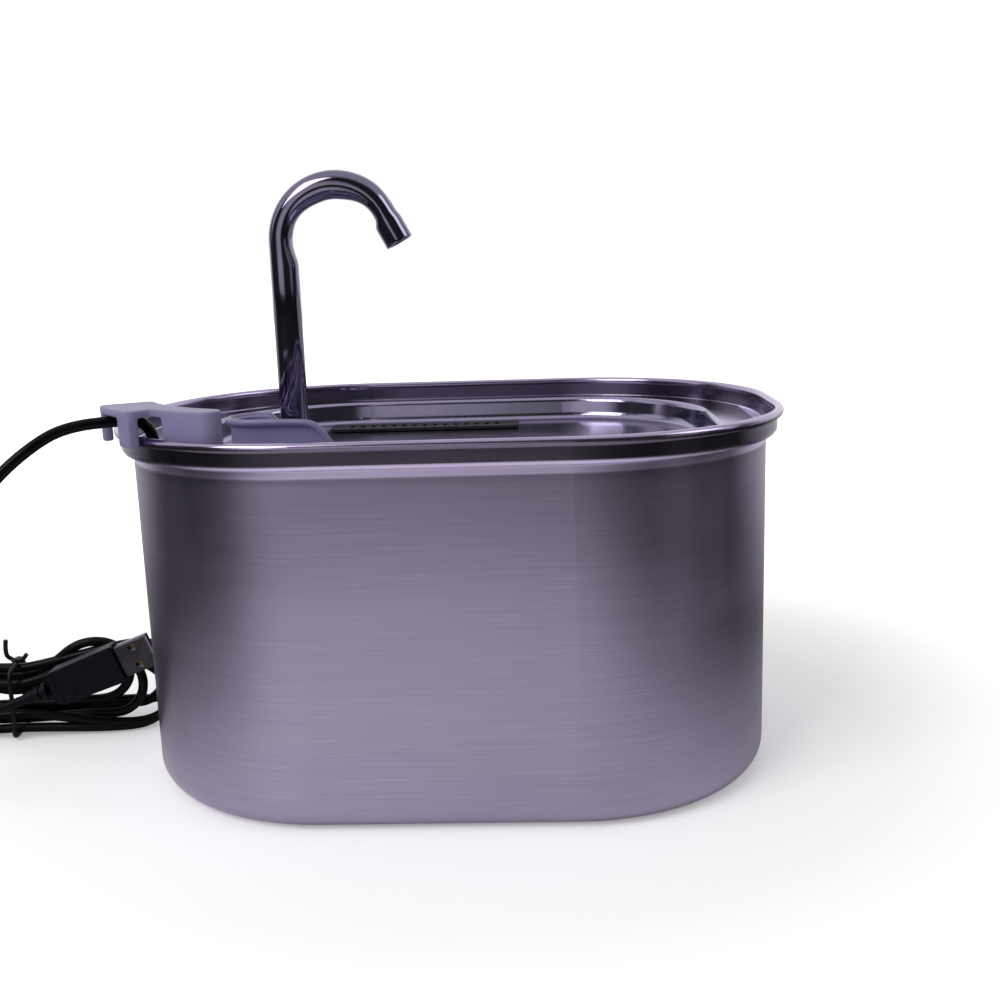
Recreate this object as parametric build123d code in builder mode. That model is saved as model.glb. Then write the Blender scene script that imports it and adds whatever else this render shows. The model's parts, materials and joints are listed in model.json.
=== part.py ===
"""A pet water fountain: a steel tank, a drinking tray with a hook faucet, and the pump under it.

Millimetres, +Z up. The origin is the middle of the tank's underside, X runs along its length and
the front is at -Y. Every piece is its own solid, written to parts/ under its own name.
"""

import math
import os

from build123d import *

os.makedirs("parts", exist_ok=True)

# ---------------------------------------------------------------- clearances
seat_gap = 0.3  # between curved or loose pieces that sit together
slip = 0.05  # radial, on a shaft or stem that turns or slides
glue_line = 0.02  # between bonded or moulded-in pieces
level_match = 0.01  # two heights this close count as one

# ---------------------------------------------------------------- tank
tank_length = 218.0  # over the rolled rim
tank_width = 160.0
tank_height = 120.0
rim_radius = 69.4  # corner radius in plan, outside the rolled rim
tank_sheet = 0.8
rim_bead = 3.0  # thickness of the rolled rim
rim_round = 1.45  # of its edges
collar_inset = 1.9  # collar wall inside the rim's outer line
body_inset = 5.4  # body wall inside the rim's outer line
collar_drop = 8.5  # from the rim's top to the underside of the step
collar_round = 1.8  # bend at the collar's foot
step_round = 0.5  # bend where the step meets the body
base_round = 8.5  # bend between the walls and the base

# ---------------------------------------------------------------- drinking tray
tray_sheet = 0.8
flange_inset = 3.9  # flange edge inside the rim's outer line
basin_end_inset = 20.5  # the basin's edge inside the rim's outer line, at the ends
basin_side_inset = 10.0  # and at the front and back
basin_radius = 50.0
basin_depth = 8.4
basin_draft = 8.0  # degrees
basin_lip_round = 2.0
basin_floor_round = 3.0
finger_gap = 7.0  # from the rim's outer line to the flange's cut end
notch_width = 7.0  # cord notch in the flange
notch_reach = 13.2  # inside the rim's outer line

# ---------------------------------------------------------------- faucet
faucet_x = -54.2
stem_od = 9.4
stem_wall = 0.8
hook_radius = 18.0  # centreline radius of the bend
hook_rise = 78.6  # from the rim to the top of the bend
hook_turn = 152.0  # degrees from straight up
outlet_run = 11.0
stem_drop = 34.0  # from the rim down to the stem's lower end

# ---------------------------------------------------------------- faucet collar
collar_length = 41.5  # over the lip
collar_width = 24.0
collar_behind = 3.6  # the collar's middle to the left of the faucet
collar_under = 2.0  # its lip under the rim
lip_overhang = 2.1
lip_thick = 2.4
lip_round = 1.1
collar_wall = 1.8
collar_base = 1.8
socket_od = 15.0
socket_wall = 1.2
socket_drop = 7.0  # below the basin floor
socket_rise = 6.0  # above it
grommet_flange = 1.4
mouth_angle = 49.0  # degrees, the way the open side faces, from +X towards +Y
mouth_start = -2.0  # from the faucet's axis, along that way, to where the wall starts down
mouth_round = 6.4

# ---------------------------------------------------------------- cable clip
# its angles go round the front left corner of the rim, in degrees from -X towards -Y
clip_angle = 35.0  # the cord's channel
clip_rise = 8.3  # the plate's top over the rim
clip_plate = 2.3
clip_out = 4.2  # the plate's outer edge past the rim
clip_in = 12.2  # the plate's inner edge inside the rim
clip_start = 28.0  # the plate's far end
clip_step = 48.0  # where the plate stops reaching over the rim
clip_end = 65.0  # the middle of its round near end
leg_start = 42.0
leg_end = 47.6
post_start = 28.4
post_end = 31.4
leg_round = 0.9
clip_overlap = 6.0  # degrees that the two halves of the plate share
post_thick = 3.0
leg_thick = 3.8
leg_drop = 2.6  # from the rim down to the legs' ends
clip_corner = 2.0
block_start = 52.4
block_wall = 1.6

# ---------------------------------------------------------------- pump
pump_size = 36.0  # width and height of the body
pump_axis_z = 24.0
pump_wall = 2.0
pump_round = 4.0
nozzle_set = 6.2  # the nozzle's axis in front of the joint between front and housing
housing_depth = 40.0
front_depth = 15.0
front_wall = 3.0
chamber_od = 27.0
chamber_depth = 12.0
inlet_od = 14.0
spoke_width = 2.0
nozzle_bore = 6.4
nozzle_top = 56.0
nozzle_stop = 2.0
well_bore = 15.2
well_depth = 21.0
well_wall = 1.2
rotor_od = 14.0
rotor_length = 17.0
rotor_set = 0.5  # from the pump's joint to the magnet
sleeve_od = 5.0
wheel_plate = 1.2
wheel_gap = 1.5  # from the pump's joint to the wheel's plate
shaft_od = 2.0
bush_od = 5.0
bush_length = 2.0
blade_count = 6
blade_thick = 1.2
blade_height = 7.0
wheel_od = 24.0
coil_cover = 0.4  # potting between the coils and the housing's sides
core_height = 14.0
core_length = 30.5
yoke_thick = 4.5  # the core's back, along the axis
core_cover = 0.6  # potting behind the core
coil_build = 2.0
coil_length = 7.0
board_width = 26.0
board_height = 24.0
board_thick = 1.2
chip_length = 7.0
chip_width = 5.0
chip_thick = 1.4
chip_spread = 11.0
rear_cover_thick = 1.8
rear_space = 4.9  # between the potting and the back face, for the board and the cover
cup_od = 14.0
cup_neck_od = 7.0
cup_neck_height = 2.0
cup_draft = 45.0
cup_wall = 0.9
cup_spread_y = 22.0
cup_front_set = 8.0  # the front cups' middles in front of the joint
cup_back_set = 8.0  # the back cups' middles in from the back face
gland_od = 7.0
gland_draft = 5.0
gland_length = 10.0
gland_round = 0.2
gland_rise = 8.0  # over the pump's axis
gland_set = 12.0  # in from the pump's back face

# ---------------------------------------------------------------- strainer and slider
strainer_depth = 15.0
strainer_wall = 1.5
strainer_slot = 1.6
strainer_pitch = 4.0
strainer_slots = 6
strainer_slot_length = 24.0
foam_thick = 8.0
slider_thick = 1.4
slider_width = 15.0
slider_height = 13.0
slider_foot = 10.0  # height of its lower edge
slider_travel = 5.0
tab_width = 8.0
tab_height = 2.0
tab_reach = 2.4
rail_width = 2.0
rail_lip = 1.0
rail_thick = 0.8

# ---------------------------------------------------------------- riser hose
hose_wall = 1.6
hose_grip = 10.0  # how far the hose goes up the stem

# ---------------------------------------------------------------- filter cartridge
filter_lip_length = 72.5
filter_lip_width = 13.0
filter_x = -14.8
filter_set = 18.5  # its middle in from the basin's back edge
filter_lip = 2.0  # overhang of the lip
filter_lip_thick = 1.0
filter_depth = 16.0
filter_wall = 1.2
filter_slot = 1.6
filter_pitch = 4.0
filter_slots = 15
filter_corner = 2.0
lid_thick = 1.6
foam_pad_thick = 4.0

# ---------------------------------------------------------------- cord, hank and plug
cord_od = 3.5
lead_straight = 10.0  # out of the gland
# the lead's chosen points between the gland and the notch
lead_points = ((-27.0, -49.0, 35.0), (-45.0, -57.0, 46.0), (-62.0, -56.5, 60.0), (-76.0, -51.0, 76.0))
lead_turn_drop = 22.0  # under the rim, where it turns up to the notch
lead_over_rim = 3.9  # the cord's middle over the rim
lead_rise_n = -9.4  # from the rim's outer line, where it rises through the notch
lead_exit_n = 6.4  # outside the rim's outer line, where it leaves the clip
cord_straight_n = 16.0  # outside it, where the free cord first bends
# the free cord's chosen points between the clip and the hank
cord_points = (
    (-118.5, -67.0, 118.5),
    (-128.5, -73.0, 109.0),
    (-137.5, -76.5, 95.0),
    (-146.0, -77.0, 78.0),
    (-155.5, -74.0, 60.0),
    (-166.0, -68.0, 43.5),
    (-178.0, -58.5, 28.5),
    (-190.5, -46.5, 17.0),
    (-202.0, -33.0, 10.5),
)
hank_x = -166.0
hank_y = 8.5
hank_turn = 5.0  # degrees, the hank's line from +X towards +Y
hank_thick = 17.0
hank_corner = 5.5
# half of the hank's side outline, from its waist to its end: along it, low and high
hank_outline = ((0.0, 2.4, 26.0), (14.0, 0.0, 31.0), (46.0, 0.0, 35.0), (60.0, 9.0, 27.0))
hank_entry_along = -48.0  # where the cord meets the hank's near side
hank_entry_height = 8.5
hank_entry_straight = 14.0
tie_wire = 1.6
tie_clear = 0.7  # the wire's gap round the waist
tie_tail_long = 11.0
tie_tail_short = 6.0
tie_tail_gap = 7.0
plug_angle = 20.0  # degrees above the floor
plug_along = 28.6  # along the hank, from its waist to the moulding's middle
plug_height = 25.6
mold_length = 28.5
mold_width = 14.2
mold_tail_width = 11.0
mold_thick = 8.0
mold_edge = 1.6
mold_tail_round = 4.6
thumb_od = 8.6
thumb_depth = 0.5
thumb_along = 8.0  # from the moulding's rear
shell_length = 12.2
shell_width = 12.0
shell_thick = 4.5
shell_wall = 0.4
shell_sink = 3.0  # how deep the shell sits in the moulding
window_size = 2.3
window_spread = 6.8
window_along = 6.3
tongue_thick = 1.9
contact_width = 1.2
contact_pitch = 2.2
contact_length = 8.0
contact_thick = 0.2
contact_set = 1.2  # behind the tongue's end
tongue_set = 0.6  # behind the shell's mouth
relief_length = 9.0
relief_od = 6.4
relief_core_od = 4.4
relief_ring = 1.5
relief_rings = 3
relief_ring_step = 0.4  # each ring's radius under the one before
tail_straight = 9.0  # out of the strain relief
tail_points = ((-11.0, 11.6, 11.0), (-19.0, 9.6, 5.5))  # along the hank, up and out of its middle
run_share = 0.45  # of the shorter run beside a bend, that the bend takes up


# ---------------------------------------------------------------- worked-out places
body_top = tank_height - collar_drop  # underside of the step
ledge_z = body_top + tank_sheet  # top of the inner ledge
flange_top = ledge_z + tray_sheet
floor_z = flange_top - basin_depth  # top of the basin's floor
floor_under = floor_z - tray_sheet
tank_floor = tank_sheet
nozzle_od = stem_od
basin_length = tank_length - 2 * basin_end_inset
basin_width = tank_width - 2 * basin_side_inset
filter_y = basin_width / 2 - filter_set
hose_bore = stem_od + 2 * slip
hose_od = hose_bore + 2 * hose_wall
hook_centre_z = tank_height + hook_rise - stem_od / 2 - hook_radius
stem_foot = tank_height - stem_drop
hose_top = stem_foot + hose_grip
collar_centre_x = faucet_x - collar_behind
collar_top = tank_height - collar_under
clip_top = tank_height + clip_rise
leg_foot = tank_height - leg_drop
hook_centre_x = faucet_x + hook_radius
pump_foot = pump_axis_z - pump_size / 2
pump_top = pump_axis_z + pump_size / 2
pump_face_x = faucet_x + nozzle_set
pump_back_x = pump_face_x + housing_depth
gland_x = pump_back_x - gland_set
gland_z = pump_axis_z + gland_rise


def rim_plan(inset, mode=Mode.ADD):
    """The tank's plan in the open sketch, drawn inside the rim's outer line by an inset."""
    RectangleRounded(tank_length - 2 * inset, tank_width - 2 * inset, rim_radius - inset, mode=mode)


def basin_plan(grow, mode=Mode.ADD):
    """The basin's plan in the open sketch, at the flange, larger by a sheet or a gap."""
    RectangleRounded(basin_length + 2 * grow, basin_width + 2 * grow, basin_radius + grow, mode=mode)


def at_height(piece, height):
    """The flat face of a piece at a height."""
    level_faces = piece.faces().filter_by(Axis.Z)
    return level_faces.filter_by_position(Axis.Z, height - level_match, height + level_match)[0]


def save(piece, name):
    """Names a piece and writes it to parts/."""
    piece.part.label = name
    export_step(piece.part, f"parts/{name}.step")


# ================================================================ tank
with BuildPart() as tank_room:
    with BuildSketch(Plane.XY.offset(tank_floor)):
        rim_plan(body_inset + tank_sheet)
    extrude(amount=body_top)
    fillet(at_height(tank_room, tank_floor).edges(), base_round - tank_sheet)
    with BuildSketch(Plane.XY.offset(ledge_z)):
        rim_plan(collar_inset + tank_sheet)
    extrude(amount=tank_height)
    fillet(at_height(tank_room, ledge_z).inner_wires()[0].edges(), step_round + tank_sheet)
    fillet(at_height(tank_room, ledge_z).outer_wire().edges(), collar_round - tank_sheet)

with BuildPart() as rim:
    with BuildSketch(Plane.XY.offset(tank_height - rim_bead)):
        rim_plan(0)
        rim_plan(rim_bead, Mode.SUBTRACT)
    extrude(amount=rim_bead)
    fillet(rim.faces().filter_by(Axis.Z).edges(), rim_round)

with BuildPart() as tank:
    with BuildSketch(Plane.XY):
        rim_plan(body_inset)
    extrude(amount=body_top)
    fillet(at_height(tank, 0).edges(), base_round)
    with BuildSketch(Plane.XY.offset(body_top)):
        rim_plan(collar_inset)
    extrude(amount=collar_drop - rim_bead / 2)
    fillet(at_height(tank, body_top).inner_wires()[0].edges(), step_round)
    fillet(at_height(tank, body_top).outer_wire().edges(), collar_round)
    add(tank_room.part, mode=Mode.SUBTRACT)
    add(rim.part)
save(tank, "tank")

# ================================================================ drinking tray
clip_heading = math.radians(clip_angle)
clip_origin = (
    -tank_length / 2 + rim_radius - rim_radius * math.cos(clip_heading),
    -tank_width / 2 + rim_radius - rim_radius * math.sin(clip_heading),
)
clip_out_way = (-math.cos(clip_heading), -math.sin(clip_heading), 0)


def clip_plane(height):
    """A level plane at the clip: x points out over the rim, y runs along it to the front."""
    return Plane((*clip_origin, height), x_dir=clip_out_way, z_dir=(0, 0, 1))


slot_length = filter_lip_length - 2 * filter_lip
slot_width = filter_lip_width - 2 * filter_lip

with BuildPart() as basin_room:
    with BuildSketch(Plane.XY.offset(flange_top)):
        basin_plan(0)
    extrude(amount=-basin_depth, taper=basin_draft)
    fillet(at_height(basin_room, floor_z).edges(), basin_floor_round)

with BuildPart() as tray:
    with BuildSketch(Plane.XY.offset(ledge_z)):
        rim_plan(flange_inset)
    extrude(amount=tray_sheet)
    with BuildSketch(Plane.XY.offset(flange_top)):
        basin_plan(tray_sheet)
    extrude(amount=-(basin_depth + tray_sheet), taper=basin_draft)
    fillet(at_height(tray, floor_under).edges(), basin_floor_round + tray_sheet)
    fillet(at_height(tray, ledge_z).inner_wires()[0].edges(), basin_lip_round - tray_sheet)
    add(basin_room.part, mode=Mode.SUBTRACT)
    fillet(at_height(tray, flange_top).inner_wires()[0].edges(), basin_lip_round)
    # the drain slot that the filter drops into, and the hole for the faucet's collar
    with BuildSketch(Plane.XY.offset(floor_z)):
        with Locations((filter_x, filter_y)):
            Rectangle(slot_length + 2 * seat_gap, slot_width + 2 * seat_gap)
        with Locations((faucet_x, 0)):
            Circle(socket_od / 2 + seat_gap)
    extrude(amount=-2 * tray_sheet, mode=Mode.SUBTRACT)
    # the finger gap at the right end, and the cord's notch under the clip
    with BuildSketch(Plane.XY.offset(ledge_z)):
        with Locations((tank_length / 2 - finger_gap, 0)):
            Rectangle(finger_gap, tank_width, align=(Align.MIN, Align.CENTER))
    extrude(amount=tray_sheet, mode=Mode.SUBTRACT)
    with BuildSketch(clip_plane(ledge_z)):
        with Locations((-notch_reach + notch_width / 2, 0)):
            Circle(notch_width / 2)
            Rectangle(notch_reach, notch_width, align=(Align.MIN, Align.CENTER))
    extrude(amount=tray_sheet, mode=Mode.SUBTRACT)
save(tray, "drinking_tray")

# ================================================================ faucet
outlet_angle = math.radians(180 - hook_turn)


def on_hook(angle):
    """A point on the bend's centreline, at an angle from +X."""
    return Vector(
        hook_centre_x + hook_radius * math.cos(angle), 0, hook_centre_z + hook_radius * math.sin(angle)
    )


hook_end = on_hook(outlet_angle)
outlet_way = Vector(math.sin(outlet_angle), 0, -math.cos(outlet_angle))

with BuildPart() as faucet:
    with BuildLine() as hook_line:
        Line((faucet_x, 0, stem_foot), (faucet_x, 0, hook_centre_z))
        ThreePointArc((faucet_x, 0, hook_centre_z), on_hook((math.pi + outlet_angle) / 2), hook_end)
        Line(hook_end, hook_end + outlet_run * outlet_way)
    with BuildSketch(Plane((faucet_x, 0, stem_foot))):
        Circle(stem_od / 2)
        Circle(stem_od / 2 - stem_wall, mode=Mode.SUBTRACT)
    sweep()
save(faucet, "faucet_tube")

# ================================================================ faucet collar and its seal
socket_bore = socket_od - 2 * socket_wall
grommet_od = socket_bore - 2 * glue_line
collar_wall_length = collar_length - 2 * lip_overhang
collar_wall_width = collar_width - 2 * lip_overhang
room_length = collar_wall_length - 2 * collar_wall
room_width = collar_wall_width - 2 * collar_wall

with BuildPart() as splash_collar:
    with BuildSketch(Plane.XY.offset(floor_z)):
        with Locations((collar_centre_x, 0)):
            SlotOverall(collar_wall_length, collar_wall_width)
    extrude(amount=collar_top - lip_thick / 2 - floor_z)
    with BuildSketch(Plane.XY.offset(collar_top - lip_thick)):
        with Locations((collar_centre_x, 0)):
            SlotOverall(collar_length, collar_width)
    extrude(amount=lip_thick)
    with BuildSketch(Plane.XY.offset(floor_z + collar_base)):
        with Locations((collar_centre_x, 0)):
            SlotOverall(room_length, room_width)
    extrude(amount=collar_top - floor_z, mode=Mode.SUBTRACT)
    fillet(at_height(splash_collar, collar_top).edges(), lip_round)
    fillet(at_height(splash_collar, collar_top - lip_thick).outer_wire().edges(), lip_round)
    mouth_plane = Plane(
        (faucet_x, 0, 0),
        x_dir=(math.cos(math.radians(mouth_angle)), math.sin(math.radians(mouth_angle)), 0),
        z_dir=(math.sin(math.radians(mouth_angle)), -math.cos(math.radians(mouth_angle)), 0),
    )
    with BuildSketch(mouth_plane):
        with Locations((mouth_start, floor_z + collar_base)):
            Rectangle(collar_length, collar_top - floor_z, align=Align.MIN)
        with Locations((mouth_start, collar_top - mouth_round)):
            Circle(mouth_round, mode=Mode.SUBTRACT)
        with Locations((mouth_start, floor_z)):
            Rectangle(mouth_round, collar_top - mouth_round - floor_z, align=Align.MIN, mode=Mode.SUBTRACT)
    extrude(amount=collar_length, both=True, mode=Mode.SUBTRACT)
    with BuildSketch(Plane.XY.offset(floor_z - socket_drop)):
        with Locations((faucet_x, 0)):
            Circle(socket_od / 2)
    extrude(amount=socket_drop + socket_rise)
    with BuildSketch(Plane.XY.offset(floor_z - socket_drop)):
        with Locations((faucet_x, 0)):
            Circle(socket_bore / 2)
    extrude(amount=socket_drop + socket_rise, mode=Mode.SUBTRACT)
save(splash_collar, "faucet_collar")

with BuildPart() as grommet:
    with BuildSketch(Plane((faucet_x, 0, floor_z - socket_drop))):
        Circle(grommet_od / 2)
    extrude(amount=socket_drop + socket_rise)
    with BuildSketch(Plane((faucet_x, 0, floor_z + socket_rise))):
        Circle(socket_od / 2 - seat_gap)
    extrude(amount=grommet_flange)
    fillet(at_height(grommet, floor_z + socket_rise + grommet_flange).edges(), grommet_flange / 2)
    with Locations((faucet_x, 0, floor_z)):
        Hole(stem_od / 2 + slip)
save(grommet, "faucet_grommet")

with BuildPart() as hose:
    with BuildSketch(Plane((faucet_x, 0, pump_top + nozzle_stop + seat_gap))):
        Circle(hose_od / 2)
        Circle(hose_bore / 2, mode=Mode.SUBTRACT)
    extrude(amount=hose_top - pump_top - nozzle_stop - seat_gap)
save(hose, "riser_hose")

# ================================================================ cable clip
block_foot = flange_top + seat_gap
rim_inside = rim_bead + seat_gap  # the clip's wall inside the bead
clip_width = clip_in - rim_inside
corner_x = rim_radius - tank_length / 2
corner_y = rim_radius - tank_width / 2
end_heading = math.radians(clip_end)
end_reach = rim_radius - rim_inside - clip_width / 2
clip_near_end = (corner_x - end_reach * math.cos(end_heading), corner_y - end_reach * math.sin(end_heading))


def rim_band(outer, inner, start, end):
    """In an open level sketch, a band along the rim's corner between two insets and two angles."""
    start_heading = math.radians(start)
    end_heading = math.radians(end)
    rim_plan(outer)
    rim_plan(inner, Mode.SUBTRACT)
    Polygon(
        (corner_x, corner_y),
        (corner_x - tank_width * math.cos(start_heading), corner_y - tank_width * math.sin(start_heading)),
        (corner_x - tank_width * math.cos(end_heading), corner_y - tank_width * math.sin(end_heading)),
        align=None,
        mode=Mode.INTERSECT,
    )


with BuildPart() as clip:
    with BuildSketch(Plane.XY.offset(clip_top)):
        rim_band(-clip_out, clip_in, clip_start, clip_step)
        fillet(vertices(), clip_corner)
    extrude(amount=-clip_plate)
    with BuildSketch(Plane.XY.offset(clip_top)):
        rim_band(rim_inside, clip_in, clip_step - clip_overlap, clip_end)
        with Locations(clip_near_end):
            Circle(clip_width / 2)
    extrude(amount=-clip_plate)
    with BuildSketch(Plane.XY.offset(clip_top)):
        rim_band(rim_inside, clip_in, block_start, clip_end)
        with Locations(clip_near_end):
            Circle(clip_width / 2)
    extrude(amount=block_foot - clip_top)
    # the block is hollow from below
    with BuildSketch(Plane.XY.offset(block_foot)):
        rim_band(rim_inside + block_wall, clip_in - block_wall, block_start + block_wall, clip_end)
        with Locations(clip_near_end):
            Circle(clip_width / 2 - block_wall)
    extrude(amount=clip_top - clip_plate - block_foot, mode=Mode.SUBTRACT)
    # the near leg and the far post, outside the rim
    with BuildSketch(Plane.XY.offset(clip_top)):
        rim_band(-clip_out, leg_thick - clip_out, leg_start, leg_end)
        fillet(vertices(), leg_round)
    extrude(amount=leg_foot - clip_top)
    with BuildSketch(Plane.XY.offset(clip_top)):
        rim_band(-clip_out, post_thick - clip_out, post_start, post_end)
        fillet(vertices(), leg_round)
    extrude(amount=leg_foot - clip_top)
save(clip, "cable_clip")

# ================================================================ pump housing
pump_room = pump_size - 2 * pump_wall
well_od = well_bore + 2 * well_wall
well_end_x = pump_face_x + well_depth
hub_od = bush_od + 2 * well_wall
potting_front_x = pump_face_x + pump_wall + glue_line
potting_back_x = pump_back_x - rear_space
core_back_x = potting_back_x - core_cover
core_front_x = core_back_x - core_length
leg_inner_y = well_od / 2 + seat_gap
core_thick = pump_room / 2 - coil_cover - coil_build - leg_inner_y
coil_back_x = core_back_x - yoke_thick - seat_gap
front_x = pump_face_x - front_depth


def across_pump(x):
    """An upright plane across the pump's axis: its x is +Y and its y is up."""
    return Plane((x, 0, pump_axis_z), x_dir=(0, 1, 0), z_dir=(1, 0, 0))


def at_gland(y):
    """An upright plane at the gland's middle, facing the front."""
    return Plane((gland_x, y, gland_z), x_dir=(1, 0, 0), z_dir=(0, -1, 0))


def core_plan(grow, mode=Mode.ADD):
    """The stator core's U in an open level sketch, larger by a gap."""
    with Locations((core_front_x - grow, 0)):
        Rectangle(
            core_length + 2 * grow,
            2 * (leg_inner_y + core_thick + grow),
            align=(Align.MIN, Align.CENTER),
            mode=mode,
        )


def coil_places():
    """The middles of the two coils in a plane across the pump."""
    return Locations((-leg_inner_y - core_thick / 2, 0), (leg_inner_y + core_thick / 2, 0))


with BuildPart() as housing:
    with BuildSketch(across_pump(pump_face_x)):
        RectangleRounded(pump_size, pump_size, pump_round)
    extrude(amount=pump_back_x - pump_face_x)
    with BuildSketch(across_pump(pump_face_x + pump_wall)):
        RectangleRounded(pump_room, pump_room, pump_round - pump_wall)
    extrude(amount=pump_back_x - pump_face_x, mode=Mode.SUBTRACT)
    # the rotor's well, with a pocket for the rear bush
    with BuildSketch(across_pump(pump_face_x)):
        Circle(well_od / 2)
    extrude(amount=well_depth + well_wall)
    with BuildSketch(across_pump(pump_face_x)):
        Circle(hub_od / 2)
    extrude(amount=well_depth + bush_length + well_wall)
    with BuildSketch(across_pump(pump_face_x)):
        Circle(well_bore / 2)
    extrude(amount=well_depth, mode=Mode.SUBTRACT)
    with BuildSketch(across_pump(well_end_x)):
        Circle(bush_od / 2 + glue_line)
    extrude(amount=bush_length, mode=Mode.SUBTRACT)
    with BuildSketch(at_gland(-pump_size / 2)):
        Circle(gland_od / 2 + glue_line)
    extrude(amount=-pump_wall, mode=Mode.SUBTRACT)
save(housing, "pump_housing")

with BuildPart() as gland:
    with BuildSketch(at_gland(pump_wall - pump_size / 2)):
        Circle(gland_od / 2)
    extrude(amount=pump_wall + gland_length, taper=gland_draft / 2)
    fillet(gland.faces().sort_by(Axis.Y)[0].edges(), gland_round)
save(gland, "cord_gland")

with BuildPart() as core:
    with BuildSketch(Plane.XY.offset(pump_axis_z - core_height / 2)):
        core_plan(0)
        with Locations((core_front_x, 0)):
            Rectangle(
                core_length - yoke_thick, 2 * leg_inner_y, align=(Align.MIN, Align.CENTER), mode=Mode.SUBTRACT
            )
    extrude(amount=core_height)
save(core, "stator_core")

with BuildPart() as coils:
    with BuildSketch(across_pump(coil_back_x)):
        with coil_places():
            RectangleRounded(core_thick + 2 * coil_build, core_height + 2 * coil_build, coil_build)
            Rectangle(core_thick + 2 * glue_line, core_height + 2 * glue_line, mode=Mode.SUBTRACT)
    extrude(amount=-coil_length)
save(coils, "stator_coils")

with BuildPart() as potting:
    with BuildSketch(across_pump(potting_front_x)):
        RectangleRounded(pump_room - 2 * glue_line, pump_room - 2 * glue_line, pump_round - pump_wall)
    extrude(amount=potting_back_x - potting_front_x)
    with BuildSketch(across_pump(potting_front_x)):
        Circle(well_od / 2 + glue_line)
    extrude(amount=well_end_x + well_wall + glue_line - potting_front_x, mode=Mode.SUBTRACT)
    with BuildSketch(across_pump(potting_front_x)):
        Circle(hub_od / 2 + glue_line)
    extrude(amount=well_end_x + bush_length + well_wall + glue_line - potting_front_x, mode=Mode.SUBTRACT)
    with BuildSketch(Plane.XY.offset(pump_axis_z - core_height / 2 - glue_line)):
        core_plan(glue_line)
        with Locations((core_front_x - glue_line, 0)):
            Rectangle(
                core_length - yoke_thick,
                2 * (leg_inner_y - glue_line),
                align=(Align.MIN, Align.CENTER),
                mode=Mode.SUBTRACT,
            )
    extrude(amount=core_height + 2 * glue_line, mode=Mode.SUBTRACT)
    with BuildSketch(across_pump(coil_back_x + glue_line)):
        with coil_places():
            Rectangle(
                core_thick + 2 * (coil_build + glue_line), core_height + 2 * (coil_build + glue_line)
            )
    extrude(amount=-coil_length - 2 * glue_line, mode=Mode.SUBTRACT)
save(potting, "pump_potting")

with BuildPart() as board:
    with BuildSketch(across_pump(potting_back_x)):
        Rectangle(board_width, board_height)
    extrude(amount=board_thick)
    with BuildSketch(across_pump(potting_back_x + board_thick)):
        with GridLocations(chip_spread, chip_spread, 2, 2):
            Rectangle(chip_length, chip_width)
    extrude(amount=chip_thick)
save(board, "driver_board")

with BuildPart() as rear_cover:
    with BuildSketch(across_pump(pump_back_x - rear_cover_thick)):
        RectangleRounded(pump_room - 2 * glue_line, pump_room - 2 * glue_line, pump_round - pump_wall)
    extrude(amount=rear_cover_thick)
save(rear_cover, "pump_rear_cover")

# ================================================================ pump front, nozzle and slider rails
channel_foot = slider_foot - pump_axis_z - slip
channel_height = slip + slider_height + slider_travel
channel_deep = slider_thick + 4 * slip

with BuildPart() as pump_front:
    with BuildSketch(across_pump(front_x)):
        RectangleRounded(pump_size, pump_size, pump_round)
    extrude(amount=front_depth)
    with BuildSketch(Plane((faucet_x, 0, pump_axis_z))):
        Circle(nozzle_od / 2)
    extrude(amount=nozzle_top - pump_axis_z)
    with BuildSketch(Plane((faucet_x, 0, pump_axis_z))):
        Circle(hose_od / 2 - seat_gap)
    extrude(amount=pump_top + nozzle_stop - pump_axis_z)
    with BuildSketch(across_pump(pump_face_x)):
        Circle(chamber_od / 2)
    extrude(amount=-chamber_depth, mode=Mode.SUBTRACT)
    with BuildSketch(Plane((faucet_x, 0, pump_axis_z))):
        Circle(nozzle_bore / 2)
    extrude(amount=nozzle_top - pump_axis_z, mode=Mode.SUBTRACT)
    with BuildSketch(across_pump(front_x)):
        Circle(inlet_od / 2)
        Circle(hub_od / 2, mode=Mode.SUBTRACT)
        Rectangle(spoke_width, inlet_od, mode=Mode.SUBTRACT)
        Rectangle(inlet_od, spoke_width, mode=Mode.SUBTRACT)
    extrude(amount=front_wall, mode=Mode.SUBTRACT)
    with BuildSketch(across_pump(front_x + front_wall)):
        Circle(bush_od / 2 + glue_line)
    extrude(amount=-bush_length, mode=Mode.SUBTRACT)
    with BuildSketch(across_pump(front_x)):
        with Locations((0, channel_foot - rail_width)):
            Rectangle(
                slider_width + 2 * slip + 2 * rail_width,
                channel_height + rail_width,
                align=(Align.CENTER, Align.MIN),
            )
        with Locations((0, channel_foot)):
            Rectangle(
                slider_width + 2 * slip, channel_height, align=(Align.CENTER, Align.MIN), mode=Mode.SUBTRACT
            )
    extrude(amount=-channel_deep - rail_thick)
    with BuildSketch(across_pump(front_x - channel_deep)):
        for side in (-1, 1):
            with Locations((side * (slider_width / 2 + slip), channel_foot)):
                Rectangle(2 * rail_lip, channel_height, align=(Align.CENTER, Align.MIN))
    extrude(amount=-rail_thick)
save(pump_front, "pump_front")

with BuildPart() as slider:
    with BuildSketch(across_pump(front_x - 2 * slip)):
        with Locations((0, slider_foot - pump_axis_z)):
            Rectangle(slider_width, slider_height, align=(Align.CENTER, Align.MIN))
    extrude(amount=-slider_thick)
    with BuildSketch(across_pump(front_x - 2 * slip - slider_thick)):
        with Locations((0, slider_foot - pump_axis_z)):
            Rectangle(tab_width, tab_height, align=(Align.CENTER, Align.MIN))
    extrude(amount=-tab_reach)
save(slider, "flow_slider")

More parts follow.
